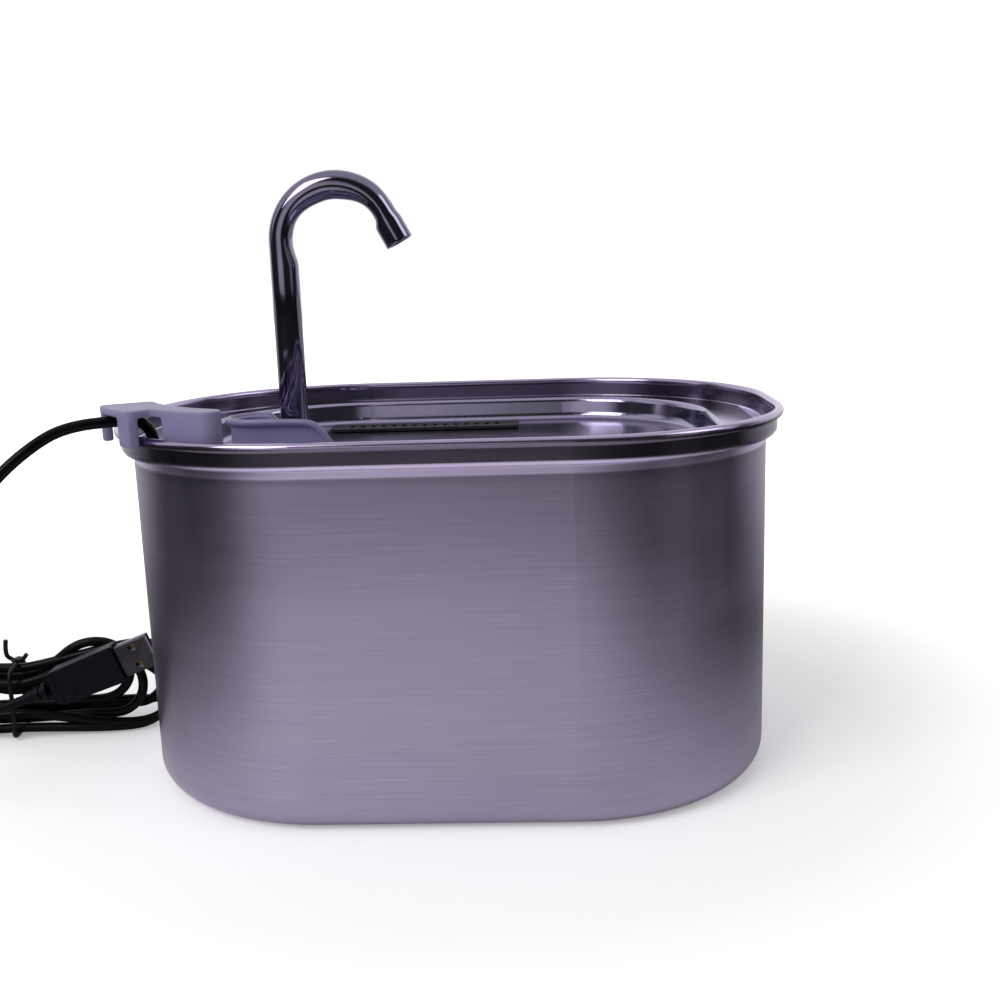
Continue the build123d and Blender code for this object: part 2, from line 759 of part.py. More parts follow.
# ================================================================ rotor
shaft_front_x = front_x + front_wall - bush_length
shaft_back_x = well_end_x + bush_length
magnet_x = pump_face_x + rotor_set
wheel_x = pump_face_x - wheel_gap
wheel_front_x = wheel_x - wheel_plate - blade_height

with BuildPart() as shaft:
    with BuildSketch(across_pump(shaft_front_x)):
        Circle(shaft_od / 2)
    extrude(amount=shaft_back_x - shaft_front_x)
save(shaft, "impeller_shaft")

with BuildPart() as bushes:
    for bush_x in (shaft_front_x, shaft_back_x - bush_length):
        with BuildSketch(across_pump(bush_x)):
            Circle(bush_od / 2)
            Circle(shaft_od / 2 + glue_line, mode=Mode.SUBTRACT)
        extrude(amount=bush_length)
save(bushes, "shaft_bushes")

with BuildPart() as impeller:
    with BuildSketch(across_pump(wheel_x)):
        Circle(wheel_od / 2)
    extrude(amount=-wheel_plate)
    with BuildSketch(across_pump(wheel_x - wheel_plate)):
        with PolarLocations(0, blade_count):
            Rectangle(wheel_od / 2, blade_thick, align=(Align.MIN, Align.CENTER))
    extrude(amount=-blade_height)
    with BuildSketch(across_pump(wheel_front_x)):
        Circle(sleeve_od / 2)
    extrude(amount=magnet_x + rotor_length - wheel_front_x)
    with BuildSketch(across_pump(wheel_front_x)):
        Circle(shaft_od / 2 + slip)
    extrude(amount=magnet_x + rotor_length - wheel_front_x, mode=Mode.SUBTRACT)
save(impeller, "impeller")

with BuildPart() as magnet:
    with BuildSketch(across_pump(magnet_x)):
        Circle(rotor_od / 2)
        Circle(sleeve_od / 2 + glue_line, mode=Mode.SUBTRACT)
    extrude(amount=rotor_length)
save(magnet, "rotor_magnet")

# ================================================================ strainer and feet
strainer_room = pump_size - 2 * strainer_wall
strainer_face_x = front_x - strainer_depth

with BuildPart() as strainer:
    with BuildSketch(across_pump(strainer_face_x)):
        RectangleRounded(pump_size, pump_size, pump_round)
    extrude(amount=strainer_depth - seat_gap)
    with BuildSketch(across_pump(strainer_face_x + strainer_wall)):
        RectangleRounded(strainer_room, strainer_room, pump_round - strainer_wall)
    extrude(amount=strainer_depth, mode=Mode.SUBTRACT)
    with BuildSketch(across_pump(strainer_face_x)):
        with GridLocations(strainer_pitch, strainer_slot_length, strainer_slots, 1):
            SlotOverall(strainer_slot_length, strainer_slot, rotation=90)
    extrude(amount=strainer_wall, mode=Mode.SUBTRACT)
save(strainer, "strainer_cap")

with BuildPart() as strainer_pad:
    with BuildSketch(across_pump(strainer_face_x + strainer_wall)):
        RectangleRounded(
            strainer_room - 2 * seat_gap, strainer_room - 2 * seat_gap, pump_round - strainer_wall
        )
    extrude(amount=foam_thick)
save(strainer_pad, "strainer_foam")

cup_height = pump_foot - cup_neck_height - tank_floor
cup_rows = (pump_face_x - cup_front_set, pump_back_x - cup_back_set)
cup_places = [(x, side * cup_spread_y / 2) for x in cup_rows for side in (-1, 1)]

with BuildPart() as cups:
    with BuildSketch(Plane.XY.offset(tank_floor)):
        with Locations(*cup_places):
            Circle(cup_od / 2)
    extrude(amount=cup_height, taper=cup_draft)
    with BuildSketch(Plane.XY.offset(tank_floor)):
        with Locations(*cup_places):
            Circle(cup_od / 2 - cup_wall)
    extrude(amount=cup_height - cup_wall, taper=cup_draft, mode=Mode.SUBTRACT)
    with BuildSketch(Plane.XY.offset(tank_floor + cup_height)):
        with Locations(*cup_places):
            Circle(cup_neck_od / 2)
    extrude(amount=cup_neck_height)
save(cups, "suction_cups")

# ================================================================ filter cartridge
case_foot = floor_z + seat_gap - filter_depth
lid_top = floor_z + seat_gap + filter_lip_thick
pad_top = lid_top - lid_thick - seat_gap
case_room_length = slot_length - 2 * filter_wall
case_room_width = slot_width - 2 * filter_wall


def at_filter(height):
    """A level plane at the filter's middle."""
    return Plane((filter_x, filter_y, height))


with BuildPart() as filter_case:
    with BuildSketch(at_filter(floor_z + seat_gap)):
        RectangleRounded(filter_lip_length, filter_lip_width, filter_corner)
    extrude(amount=filter_lip_thick)
    with BuildSketch(at_filter(floor_z + seat_gap)):
        Rectangle(slot_length, slot_width)
    extrude(amount=-filter_depth)
    with BuildSketch(at_filter(case_foot + filter_wall)):
        Rectangle(case_room_length, case_room_width)
    extrude(amount=filter_depth + filter_lip_thick, mode=Mode.SUBTRACT)
    with BuildSketch(at_filter(case_foot)):
        with GridLocations(filter_pitch, case_room_width, filter_slots, 1):
            Rectangle(filter_slot, case_room_width - filter_wall)
    extrude(amount=filter_wall, mode=Mode.SUBTRACT)
save(filter_case, "filter_case")

with BuildPart() as carbon:
    with BuildSketch(at_filter(case_foot + filter_wall)):
        Rectangle(case_room_length - 2 * seat_gap, case_room_width - 2 * seat_gap)
    extrude(amount=pad_top - foam_pad_thick - case_foot - filter_wall)
save(carbon, "filter_carbon")

with BuildPart() as foam_pad:
    with BuildSketch(at_filter(pad_top - foam_pad_thick)):
        Rectangle(case_room_length - 2 * seat_gap, case_room_width - 2 * seat_gap)
    extrude(amount=foam_pad_thick)
save(foam_pad, "filter_foam")

with BuildPart() as filter_lid:
    with BuildSketch(at_filter(lid_top - lid_thick)):
        Rectangle(case_room_length - 2 * slip, case_room_width - 2 * slip)
        with GridLocations(filter_pitch, case_room_width, filter_slots, 1):
            Rectangle(filter_slot, case_room_width - 2 * filter_wall, mode=Mode.SUBTRACT)
    extrude(amount=lid_thick)
save(filter_lid, "filter_lid")


# ================================================================ cord
def cord_radii(route):
    """A bend radius at each inner point of a route, as large as the two runs beside it allow."""
    radii = []
    for before, here, after in zip(route, route[1:], route[2:]):
        run_in = Vector(*here) - Vector(*before)
        run_out = Vector(*after) - Vector(*here)
        half_turn = math.radians(run_in.get_angle(run_out) / 2)
        radii.append(run_share * min(run_in.length, run_out.length) / math.tan(half_turn))
    return radii


def lay_cord(route, name):
    """A round cord along a route of straight runs joined by tangent arcs."""
    radii = cord_radii(route)
    with BuildPart() as cord:
        with BuildLine() as middle:
            FilletPolyline(*route, radius=radii)
        with BuildSketch(Plane(middle.line @ 0, z_dir=middle.line % 0)):
            Circle(cord_od / 2)
        sweep()
    length = middle.wires()[0].length
    tube = math.pi * (cord_od / 2) ** 2 * length
    print(name, "length", round(length, 1), "radii", [round(radius, 1) for radius in radii])
    print(name, "volume", round(cord.part.volume, 1), "section times length", round(tube, 1))
    save(cord, name)
    return cord


def past_rim(n, height):
    """A place in line with the clip's channel, n outside the rim's outer line."""
    across = clip_plane(height).from_local_coords((n, 0, 0))
    return (across.X, across.Y, across.Z)


over_rim_z = tank_height + lead_over_rim
gland_end_y = -pump_size / 2 - gland_length
lead_exit = past_rim(lead_exit_n, over_rim_z)
lay_cord(
    [
        (gland_x, gland_end_y, gland_z),
        (gland_x, gland_end_y - lead_straight, gland_z),
        *lead_points,
        past_rim(lead_rise_n, tank_height - lead_turn_drop),
        past_rim(lead_rise_n, over_rim_z),
        lead_exit,
    ],
    "pump_lead",
)

# ================================================================ hank and its tie
hank_line = math.radians(hank_turn)
hank_plane = Plane(
    (hank_x, hank_y, 0),
    x_dir=(math.cos(hank_line), math.sin(hank_line), 0),
    z_dir=(math.sin(hank_line), -math.cos(hank_line), 0),
)


def at_hank(point):
    """A place on the hank: along it to the right, up, and out to the front."""
    return tuple(hank_plane.from_local_coords(point))


hank_side = [(along, low) for along, low, high in hank_outline]
hank_side += [(along, high) for along, low, high in reversed(hank_outline)]
hank_side += [(-along, high) for along, low, high in hank_outline[1:]]
hank_side += [(-along, low) for along, low, high in reversed(hank_outline[1:])]

with BuildPart() as hank:
    with BuildSketch(hank_plane):
        Polygon(*hank_side, align=None)
        fillet(vertices(), hank_corner)
    extrude(amount=hank_thick / 2, both=True)
    fillet(hank.faces().filter_by(hank_plane).edges(), hank_corner)
save(hank, "cord_hank")

waist_low = hank_outline[0][1]
waist_high = hank_outline[0][2]
ring_gap = tie_clear + tie_wire / 2
across_hank = Plane(
    hank_plane.from_local_coords((0, (waist_low + waist_high) / 2, 0)),
    x_dir=hank_plane.z_dir,
    z_dir=hank_plane.x_dir,
)

with BuildPart() as tie:
    with BuildSketch(across_hank):
        RectangleRounded(
            hank_thick + 2 * (tie_clear + tie_wire),
            waist_high - waist_low + 2 * (tie_clear + tie_wire),
            hank_corner,
        )
        RectangleRounded(
            hank_thick + 2 * tie_clear,
            waist_high - waist_low + 2 * tie_clear,
            hank_corner - tie_wire,
            mode=Mode.SUBTRACT,
        )
    extrude(amount=tie_wire / 2, both=True)
    for side, tail_length in ((-1, tie_tail_long), (1, tie_tail_short)):
        foot = hank_plane.from_local_coords((0, waist_high + ring_gap, side * tie_tail_gap / 2))
        with BuildSketch(Plane(foot)):
            Circle(tie_wire / 2)
        extrude(amount=tail_length)
save(tie, "hank_tie")

# ================================================================ free cord
lay_cord(
    [
        lead_exit,
        past_rim(cord_straight_n, over_rim_z),
        *cord_points,
        at_hank((hank_entry_along, hank_entry_height, hank_thick / 2 + hank_entry_straight)),
        at_hank((hank_entry_along, hank_entry_height, hank_thick / 2)),
    ],
    "free_cord",
)

# ================================================================ plug
plug_lean = math.radians(plug_angle)
plug_plane = Plane(
    hank_plane.from_local_coords((plug_along, plug_height, hank_thick / 2 + seat_gap + mold_thick / 2)),
    x_dir=hank_plane.x_dir * math.cos(plug_lean) + hank_plane.y_dir * math.sin(plug_lean),
    z_dir=hank_plane.z_dir,
)
shell_mouth = mold_length / 2 + shell_length
tongue_low = shell_wall + glue_line - shell_thick / 2
relief_end = -mold_length / 2 - relief_length


def across_plug(along):
    """A plane across the plug: its x is the plug's width and its y its thickness."""
    return Plane(
        plug_plane.from_local_coords((along, 0, 0)), x_dir=plug_plane.y_dir, z_dir=plug_plane.x_dir
    )


with BuildPart() as mold:
    with BuildSketch(plug_plane):
        Polygon(
            (mold_length / 2, mold_width / 2),
            (-mold_length / 2, mold_tail_width / 2),
            (-mold_length / 2, -mold_tail_width / 2),
            (mold_length / 2, -mold_width / 2),
            align=None,
        )
        tail_corners = vertices().sort_by(lambda corner: plug_plane.to_local_coords(corner.center()).X)
        fillet(tail_corners[:2], mold_tail_round)
    extrude(amount=mold_thick / 2, both=True)
    fillet(mold.faces().filter_by(plug_plane).edges(), mold_edge)
    with BuildSketch(across_plug(mold_length / 2)):
        Rectangle(shell_width + 2 * glue_line, shell_thick + 2 * glue_line)
    extrude(amount=-shell_sink, mode=Mode.SUBTRACT)
    with BuildSketch(plug_plane.offset(mold_thick / 2)):
        with Locations((thumb_along - mold_length / 2, 0)):
            Circle(thumb_od / 2)
    extrude(amount=-thumb_depth, mode=Mode.SUBTRACT)
save(mold, "usb_overmold")

with BuildPart() as shell:
    with BuildSketch(across_plug(mold_length / 2 - shell_sink)):
        RectangleRounded(shell_width, shell_thick, 2 * shell_wall)
        RectangleRounded(
            shell_width - 2 * shell_wall, shell_thick - 2 * shell_wall, shell_wall, mode=Mode.SUBTRACT
        )
    extrude(amount=shell_sink + shell_length)
    with BuildSketch(plug_plane):
        with Locations((mold_length / 2 + window_along, 0)):
            with GridLocations(window_size, window_spread, 1, 2):
                Rectangle(window_size, window_size)
    extrude(amount=shell_thick, both=True, mode=Mode.SUBTRACT)
save(shell, "usb_shell")

with BuildPart() as tongue:
    with BuildSketch(across_plug(mold_length / 2 - shell_sink)):
        with Locations((0, tongue_low)):
            Rectangle(
                shell_width - 4 * shell_wall, tongue_thick, align=(Align.CENTER, Align.MIN)
            )
    extrude(amount=shell_sink + shell_length - tongue_set)
save(tongue, "usb_tongue")

with BuildPart() as contacts:
    with BuildSketch(plug_plane.offset(tongue_low + tongue_thick)):
        with Locations((shell_mouth - tongue_set - contact_set - contact_length / 2, 0)):
            with GridLocations(contact_length, contact_pitch, 1, 4):
                Rectangle(contact_length, contact_width)
    extrude(amount=contact_thick)
save(contacts, "usb_contacts")

with BuildPart() as relief:
    with BuildSketch(across_plug(-mold_length / 2)):
        Circle(relief_core_od / 2)
    extrude(amount=-relief_length)
    for ring_number in range(relief_rings):
        ring_start = -mold_length / 2 - ring_number * relief_length / relief_rings
        with BuildSketch(across_plug(ring_start)):
            Circle(relief_od / 2 - ring_number * relief_ring_step)
        extrude(amount=-relief_ring)
save(relief, "usb_relief")

lay_cord(
    [
        tuple(plug_plane.from_local_coords((relief_end, 0, 0))),
        tuple(plug_plane.from_local_coords((relief_end - tail_straight, 0, 0))),
        *(at_hank(point) for point in tail_points),
    ],
    "cord_tail",
)
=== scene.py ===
"""Looks of a pet water fountain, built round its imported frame.

A brushed steel tank with its polished tray, a chrome faucet in a grey collar, a cord clip on the
rim, the pump under the tray, and a black cord wound into a tied hank with its plug.
"""

import json
import math

import bpy
from mathutils import Matrix, Vector


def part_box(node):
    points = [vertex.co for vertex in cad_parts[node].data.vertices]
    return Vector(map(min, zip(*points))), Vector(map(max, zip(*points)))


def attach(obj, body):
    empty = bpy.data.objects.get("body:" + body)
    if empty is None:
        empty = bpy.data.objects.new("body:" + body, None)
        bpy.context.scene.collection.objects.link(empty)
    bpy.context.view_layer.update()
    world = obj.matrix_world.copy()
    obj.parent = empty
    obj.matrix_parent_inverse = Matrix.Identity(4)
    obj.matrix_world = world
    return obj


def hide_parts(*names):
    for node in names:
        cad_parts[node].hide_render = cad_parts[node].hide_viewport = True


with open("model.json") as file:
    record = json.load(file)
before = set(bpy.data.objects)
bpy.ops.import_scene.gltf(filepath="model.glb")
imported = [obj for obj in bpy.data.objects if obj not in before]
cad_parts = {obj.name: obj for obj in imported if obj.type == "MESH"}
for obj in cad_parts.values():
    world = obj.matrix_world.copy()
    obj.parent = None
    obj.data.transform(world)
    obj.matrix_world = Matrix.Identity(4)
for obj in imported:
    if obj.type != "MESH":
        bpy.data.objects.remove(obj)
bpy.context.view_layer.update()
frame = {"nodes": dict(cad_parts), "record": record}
nodes = frame["nodes"]

MM = 0.001
UP = Vector((0, 0, 1))

# ---------------------------------------------------------------- places taken from the frame
rim_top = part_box("tank")[1].z
faucet_low, faucet_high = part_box("faucet_tube")
collar_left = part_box("faucet_collar")[0].x
stem_radius = (faucet_high.y - faucet_low.y) / 2
stem_x = faucet_low.x + stem_radius

# ---------------------------------------------------------------- sizes, as the solids have them
HOOK_RADIUS = 18.0 * MM  # the faucet's bend, to the tube's middle
HOOK_TURN = math.radians(152)
OUTLET_RUN = 11.0 * MM  # from the bend's end to the mouth
STEM_WALL = 0.8 * MM
COLLAR_WALL = 1.8 * MM
COLLAR_TOP = 118.0 * MM
COLLAR_FLOOR = 106.5 * MM  # the top of its base
LIP = 2.4 * MM  # the collar's round lip, across
CORD = 3.5 * MM
CLIP_ANGLE = math.radians(35)  # the clip's channel, from -X towards -Y
CLIP_CHANNEL = 123.9 * MM  # its middle, above the floor
RIM_CORNER = Vector((-96.45, -50.41, 0)) * MM  # the rim's outer line at the clip
HANK_PLACE = Vector((-166.0, 8.5, 0)) * MM  # the floor under the hank's waist
HANK_TURN = math.radians(5)
HANK_ALONG = Vector((math.cos(HANK_TURN), math.sin(HANK_TURN), 0))
HANK_FRONT = Vector((math.sin(HANK_TURN), -math.cos(HANK_TURN), 0))
PLUG_PLACE = Vector((-136.39, -1.76, 25.6)) * MM
PLUG_LEAN = math.radians(20)
TIE_WIRE = 1.6 * MM

# ---------------------------------------------------------------- camera
CAMERA_PLACE = Vector((31.916, -399.043, 169.017)) * MM
CAMERA_YAW = math.radians(2.358)
CAMERA_PITCH = math.radians(11.699)
CAMERA_ROLL = math.radians(-1.813)
CAMERA_FOCUS = 1.1764  # focal length over the picture's width
SENSOR = 36.0

# ---------------------------------------------------------------- light
WORLD_LEVEL = 0.62
FRONT_LEVEL = 0.04  # what metal mirrors from the front
KEY_POWER = 9.0  # watts
RIM_POWER = 1.5


# ================================================================ small helpers
def select_only(obj):
    """Leaves one object selected and active."""
    bpy.ops.object.select_all(action="DESELECT")
    obj.select_set(True)
    bpy.context.view_layer.objects.active = obj


def settle(obj):
    """Puts the object's place, turn and scale into its mesh."""
    select_only(obj)
    bpy.ops.object.transform_apply(location=True, rotation=True, scale=True)
    return obj


def add_modifier(obj, kind, **values):
    """Adds a modifier and applies it."""
    modifier = obj.modifiers.new(kind.lower(), kind)
    for key, value in values.items():
        setattr(modifier, key, value)
    select_only(obj)
    bpy.ops.object.modifier_apply(modifier=modifier.name)
    return obj


def ease_edges(obj, width, segments):
    """Bevels the sharp edges."""
    sharp = {"limit_method": "ANGLE", "angle_limit": math.radians(50)}
    add_modifier(obj, "BEVEL", width=width, segments=segments, **sharp)


def cut_away(piece, cutter):
    """Takes a cutter's shape out of a piece, and removes the cutter."""
    add_modifier(piece, "BOOLEAN", operation="DIFFERENCE", object=cutter, solver="EXACT")
    bpy.data.objects.remove(cutter)


def extrude(way):
    """Extrudes what is selected in edit mode."""
    bpy.ops.mesh.extrude_region_move(TRANSFORM_OT_translate={"value": way})


def pick(obj, kind, test):
    """Selects the vertices, edges or polygons that pass a test, and nothing else."""
    mesh = obj.data
    for item in (*mesh.vertices, *mesh.edges, *mesh.polygons):
        item.select = False
    for item in getattr(mesh, kind):
        item.select = test(item)


def joined(first, others):
    """Joins other pieces into the first."""
    select_only(first)
    for other in others:
        other.select_set(True)
    bpy.ops.object.join()
    return first


def merged_copy(node, name):
    """A copy of a CAD node as the start of a new piece: triangles merged, flat faces joined."""
    piece = bpy.data.objects.new(name, nodes[node].data.copy())
    bpy.context.scene.collection.objects.link(piece)
    piece.data.materials.clear()
    select_only(piece)
    bpy.ops.object.mode_set(mode="EDIT")
    bpy.ops.mesh.customdata_custom_splitnormals_clear()
    bpy.ops.mesh.select_all(action="SELECT")
    bpy.ops.mesh.remove_doubles(threshold=0.002 * MM)
    bpy.ops.mesh.dissolve_limited(angle_limit=math.radians(0.5))
    bpy.ops.mesh.normals_make_consistent(inside=False)
    bpy.ops.object.mode_set(mode="OBJECT")
    return piece


def smooth(obj, sharp):
    """Smooth shading, with edges sharper than an angle in degrees left sharp."""
    select_only(obj)
    bpy.ops.object.shade_smooth_by_angle(angle=math.radians(sharp))
    return obj


def wear(obj, slot, body, *stands_for):
    """Gives a new piece its material and slot, the body it rides on and the nodes it stands for."""
    obj.data.materials.clear()
    obj.data.materials.append(MATERIALS[slot])
    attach(obj, body)
    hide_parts(*stands_for)
    return obj


def lay_line(name, route, diameter):
    """A round cord or wire on one smooth curve along its route."""
    curve = bpy.data.curves.new(name, "CURVE")
    curve.dimensions = "3D"
    spline = curve.splines.new("NURBS")
    spline.points.add(len(route) - 1)
    for point, place in zip(spline.points, route):
        point.co = (*place, 1)
    spline.order_u = 3
    spline.use_endpoint_u = True
    curve.resolution_u = 8
    curve.bevel_depth = diameter / 2
    curve.bevel_resolution = 4
    curve.use_fill_caps = True
    line = bpy.data.objects.new(name, curve)
    bpy.context.scene.collection.objects.link(line)
    return line


def tube_along(name, route, diameter):
    """A round tube along a smooth line, closed at both ends, as a mesh."""
    select_only(lay_line(name, route, diameter))
    bpy.ops.object.convert(target="MESH")
    return bpy.context.object


def remould(piece, grain, rounds):
    """Rebuilds a moulding as one skin and eases its edges and corners, as a mould leaves them."""
    add_modifier(piece, "REMESH", mode="VOXEL", voxel_size=grain)
    add_modifier(piece, "SMOOTH", factor=0.5, iterations=rounds)
    return smooth(piece, 60)


# ================================================================ camera
def aim_camera():
    """The camera: level turn, then down, then a small roll."""
    ahead = Vector((-math.sin(CAMERA_YAW), math.cos(CAMERA_YAW), 0))
    right = Vector((math.cos(CAMERA_YAW), math.sin(CAMERA_YAW), 0))
    down_ahead = ahead * math.cos(CAMERA_PITCH) - UP * math.sin(CAMERA_PITCH)
    down_up = ahead * math.sin(CAMERA_PITCH) + UP * math.cos(CAMERA_PITCH)
    rolled_right = right * math.cos(CAMERA_ROLL) + down_up * math.sin(CAMERA_ROLL)
    rolled_up = down_up * math.cos(CAMERA_ROLL) - right * math.sin(CAMERA_ROLL)
    turn = Matrix((rolled_right, rolled_up, -down_ahead)).transposed()
    bpy.ops.object.select_all(action="DESELECT")
    bpy.ops.object.camera_add(location=CAMERA_PLACE, rotation=turn.to_euler())
    camera = bpy.context.object
    camera.name = "camera"
    camera.data.sensor_width = SENSOR
    camera.data.lens = SENSOR * CAMERA_FOCUS
    camera.data.clip_start = 0.01
    camera.data.clip_end = 20
    bpy.context.scene.camera = camera


aim_camera()


# ================================================================ free cord and its hank
def past_rim(distance):
    """A place in line with the clip's channel, in millimetres outside the rim's outer line."""
    out = Vector((-math.cos(CLIP_ANGLE), -math.sin(CLIP_ANGLE), 0))
    return RIM_CORNER + out * distance * MM + UP * CLIP_CHANNEL


def on_hank(along, up, front):
    """A place on the hank, in millimetres: along it to the right, up, and out to the front."""
    return HANK_PLACE + (HANK_ALONG * along + HANK_FRONT * front + UP * up) * MM


# the cord's places in millimetres: from the clip down to the floor, and then on the hank (along,
# up, front), into it from its left
CORD_FALL = (
    (-118.5, -67, 118.5),
    (-128.5, -73, 109),
    (-137.5, -76.5, 95),
    (-146, -77, 78),
    (-155.5, -74, 60),
    (-166, -68, 43.5),
    (-178, -58.5, 28.5),
    (-190.5, -46.5, 17),
    (-202, -33, 10.5),
)
HANK_START = ((-51, 8.5, 22.5), (-55, 7.4, 12.0), (-51, 5.0, 2.6), (-39, 3.0, 2.2))

# one row per turn of the hank: the lower and the upper lane at the tie (up, front), how far it
# reaches to the right and left, its lowest and highest place beside the tie, and how far its two
# ends lean to the front
HANK_TURNS = (
    ((3.8, 4.8), (23.9, -4.4), 55, 51, 2.2, 25.6, 1.2, 0.4),
    ((9.4, 4.6), (18.6, -4.2), 57, 55, 3.4, 27.6, 1.0, 0.6),
    ((5.6, 0.2), (20.2, 4.6), 46, 50, 6.4, 29.8, -1.0, 0.8),
    ((4.2, -4.4), (16.4, 1.6), 53, 56, 8.4, 31.0, -1.2, 0.4),
    ((7.5, -4.6), (24.8, 0.2), 57, 48, 9.8, 32.8, 0.6, -1.0),
    ((11.2, 0.0), (22.0, -0.2), 41, 53, 11.6, 34.0, -0.8, -0.6),
)
HANK_END = (5.4, 4.8)  # up and front, where the last turn ends
FOLD_CORNER = math.tan(math.radians(22.5))  # half an octagon's side, for a radius of 1
FOLD_LEAD = 7  # from a lane's last point to where its fold begins, in millimetres


def fold(tip, start, end, lean):
    """The six points of a fold of the hank, from one lane (up, front) round to the next."""
    side = math.copysign(1, tip)
    bend = abs(end[0] - start[0]) / 2
    middle = (start[0] + end[0]) / 2
    rise = math.copysign(bend * FOLD_CORNER, end[0] - start[0])
    across = (start[1] + end[1]) / 2 + lean
    begin = tip - side * bend
    corner = begin + side * bend * FOLD_CORNER
    return [
        on_hank(begin - side * FOLD_LEAD, *start),
        on_hank(corner, start[0], across),
        on_hank(tip, middle - rise, across),
        on_hank(tip, middle + rise, across),
        on_hank(corner, end[0], across),
        on_hank(begin - side * FOLD_LEAD, *end),
    ]


cord_route = [
    past_rim(6.4),
    past_rim(16),
    *(Vector(place) * MM for place in CORD_FALL),
    *(on_hank(*place) for place in HANK_START),
]
next_lanes = [(turn[4], turn[0][1]) for turn in HANK_TURNS[1:]] + [HANK_END]
for turn, next_lane in zip(HANK_TURNS, next_lanes):
    lower, upper, right, left, low, high, right_lean, left_lean = turn
    lower_side = (low + 3 * lower[0]) / 4
    upper_side = (high + 3 * upper[0]) / 4
    cord_route += [
        on_hank(-26, low, lower[1]),
        on_hank(-13, lower_side, lower[1]),
        on_hank(0, *lower),
        on_hank(12, lower_side, lower[1]),
        *fold(right, (low, lower[1]), (high, upper[1]), right_lean),
        on_hank(12, upper_side, upper[1]),
        on_hank(0, *upper),
        on_hank(-13, upper_side, upper[1]),
        *fold(-left, (high, upper[1]), next_lane, left_lean),
    ]

# the last stretch comes out of the hank over the tie, into the plug's strain relief
cord_route += [
    on_hank(-19, 9.6, 5.5),
    on_hank(-11, 11.6, 11),
    Vector((-166.6, -4.4, 14.6)) * MM,
    Vector((-158.2, -3.7, 17.65)) * MM,
]

power_cord = lay_line("power_cord", cord_route, CORD)


# ================================================================ node groups
def socket(group, name, kind, default=None, out=False):
    """A named input or output of a node group."""
    made = group.interface.new_socket(name, in_out="OUTPUT" if out else "INPUT", socket_type=kind)
    if default is not None:
        made.default_value = default
    return made


def math_node(tree, operation, first, second=None, clamp=False):
    """A Math node fed by sockets or numbers."""
    node = tree.nodes.new("ShaderNodeMath")
    node.operation = operation
    node.use_clamp = clamp
    for index, value in enumerate((first, second)):
        if value is None:
            continue
        if isinstance(value, (int, float)):
            node.inputs[index].default_value = value
        else:
            tree.links.new(value, node.inputs[index])
    return node.outputs[0]


def noise(tree, vector, scale, detail, roughness):
    """A Noise Texture on a vector."""
    node = tree.nodes.new("ShaderNodeTexNoise")
    node.inputs["Scale"].default_value = scale
    node.inputs["Detail"].default_value = detail
    node.inputs["Roughness"].default_value = roughness
    tree.links.new(vector, node.inputs["Vector"])
    return node.outputs["Fac"]


def stretched(tree, vector, scale):
    """The vector with each axis scaled on its own."""
    node = tree.nodes.new("ShaderNodeMapping")
    node.inputs["Scale"].default_value = scale
    tree.links.new(vector, node.inputs["Vector"])
    return node.outputs["Vector"]


def build_brushing():
    """Long level scratches of several lengths, as a height and a mask for colour and roughness."""
    group = bpy.data.node_groups.new("brushing", "ShaderNodeTree")
    socket(group, "Vector", "NodeSocketVector")
    socket(group, "Height", "NodeSocketFloat", out=True)
    socket(group, "Streaks", "NodeSocketFloat", out=True)
    socket(group, "Clouds", "NodeSocketFloat", out=True)
    start = group.nodes.new("NodeGroupInput")
    end = group.nodes.new("NodeGroupOutput")
    vector = start.outputs["Vector"]
    # few cycles a metre level, and many upwards, so that the scratches run level
    fine = noise(group, stretched(group, vector, (26, 26, 4200)), 1, 3, 0.6)
    broad = noise(group, stretched(group, vector, (12, 12, 1300)), 1, 3, 0.6)
    rare = noise(group, stretched(group, vector, (34, 34, 2600)), 1, 1, 0.5)
    cloud = noise(group, stretched(group, vector, (10, 10, 34)), 1, 3, 0.55)
    fine_share = math_node(group, "MULTIPLY", fine, 0.6)
    broad_share = math_node(group, "MULTIPLY", broad, 0.4)
    height = math_node(group, "ADD", fine_share, broad_share)
    deep = math_node(group, "SUBTRACT", rare, 0.66, clamp=True)
    scratch = math_node(group, "MULTIPLY", deep, 5.0, clamp=True)
    streaks = math_node(group, "ADD", height, scratch)
    group.links.new(height, end.inputs["Height"])
    group.links.new(streaks, end.inputs["Streaks"])
    group.links.new(cloud, end.inputs["Clouds"])
    return group


def build_mottle():
    """Fine moulded grain and slow smudges on a surface."""
    group = bpy.data.node_groups.new("mottle", "ShaderNodeTree")
    socket(group, "Vector", "NodeSocketVector")
    socket(group, "Scale", "NodeSocketFloat", 1.0)
    socket(group, "Grain", "NodeSocketFloat", out=True)
    socket(group, "Smudge", "NodeSocketFloat", out=True)
    start = group.nodes.new("NodeGroupInput")
    end = group.nodes.new("NodeGroupOutput")
    scaled = group.nodes.new("ShaderNodeVectorMath")
    scaled.operation = "SCALE"
    group.links.new(start.outputs["Vector"], scaled.inputs[0])
    group.links.new(start.outputs["Scale"], scaled.inputs["Scale"])
    group.links.new(noise(group, scaled.outputs[0], 1800, 2, 0.6), end.inputs["Grain"])
    group.links.new(noise(group, scaled.outputs[0], 60, 3, 0.55), end.inputs["Smudge"])
    return group


BRUSHING = build_brushing()
MOTTLE = build_mottle()


def use_group(tree, group, vector, **values):
    """Places a node group, fed by a vector and its own values."""
    node = tree.nodes.new("ShaderNodeGroup")
    node.node_tree = group
    tree.links.new(vector, node.inputs["Vector"])
    for key, value in values.items():
        node.inputs[key].default_value = value
    return node


def split(tree, place, index):
    """One coordinate of a place."""
    parts = tree.nodes.new("ShaderNodeSeparateXYZ")
    tree.links.new(place, parts.inputs[0])
    return parts.outputs[index]


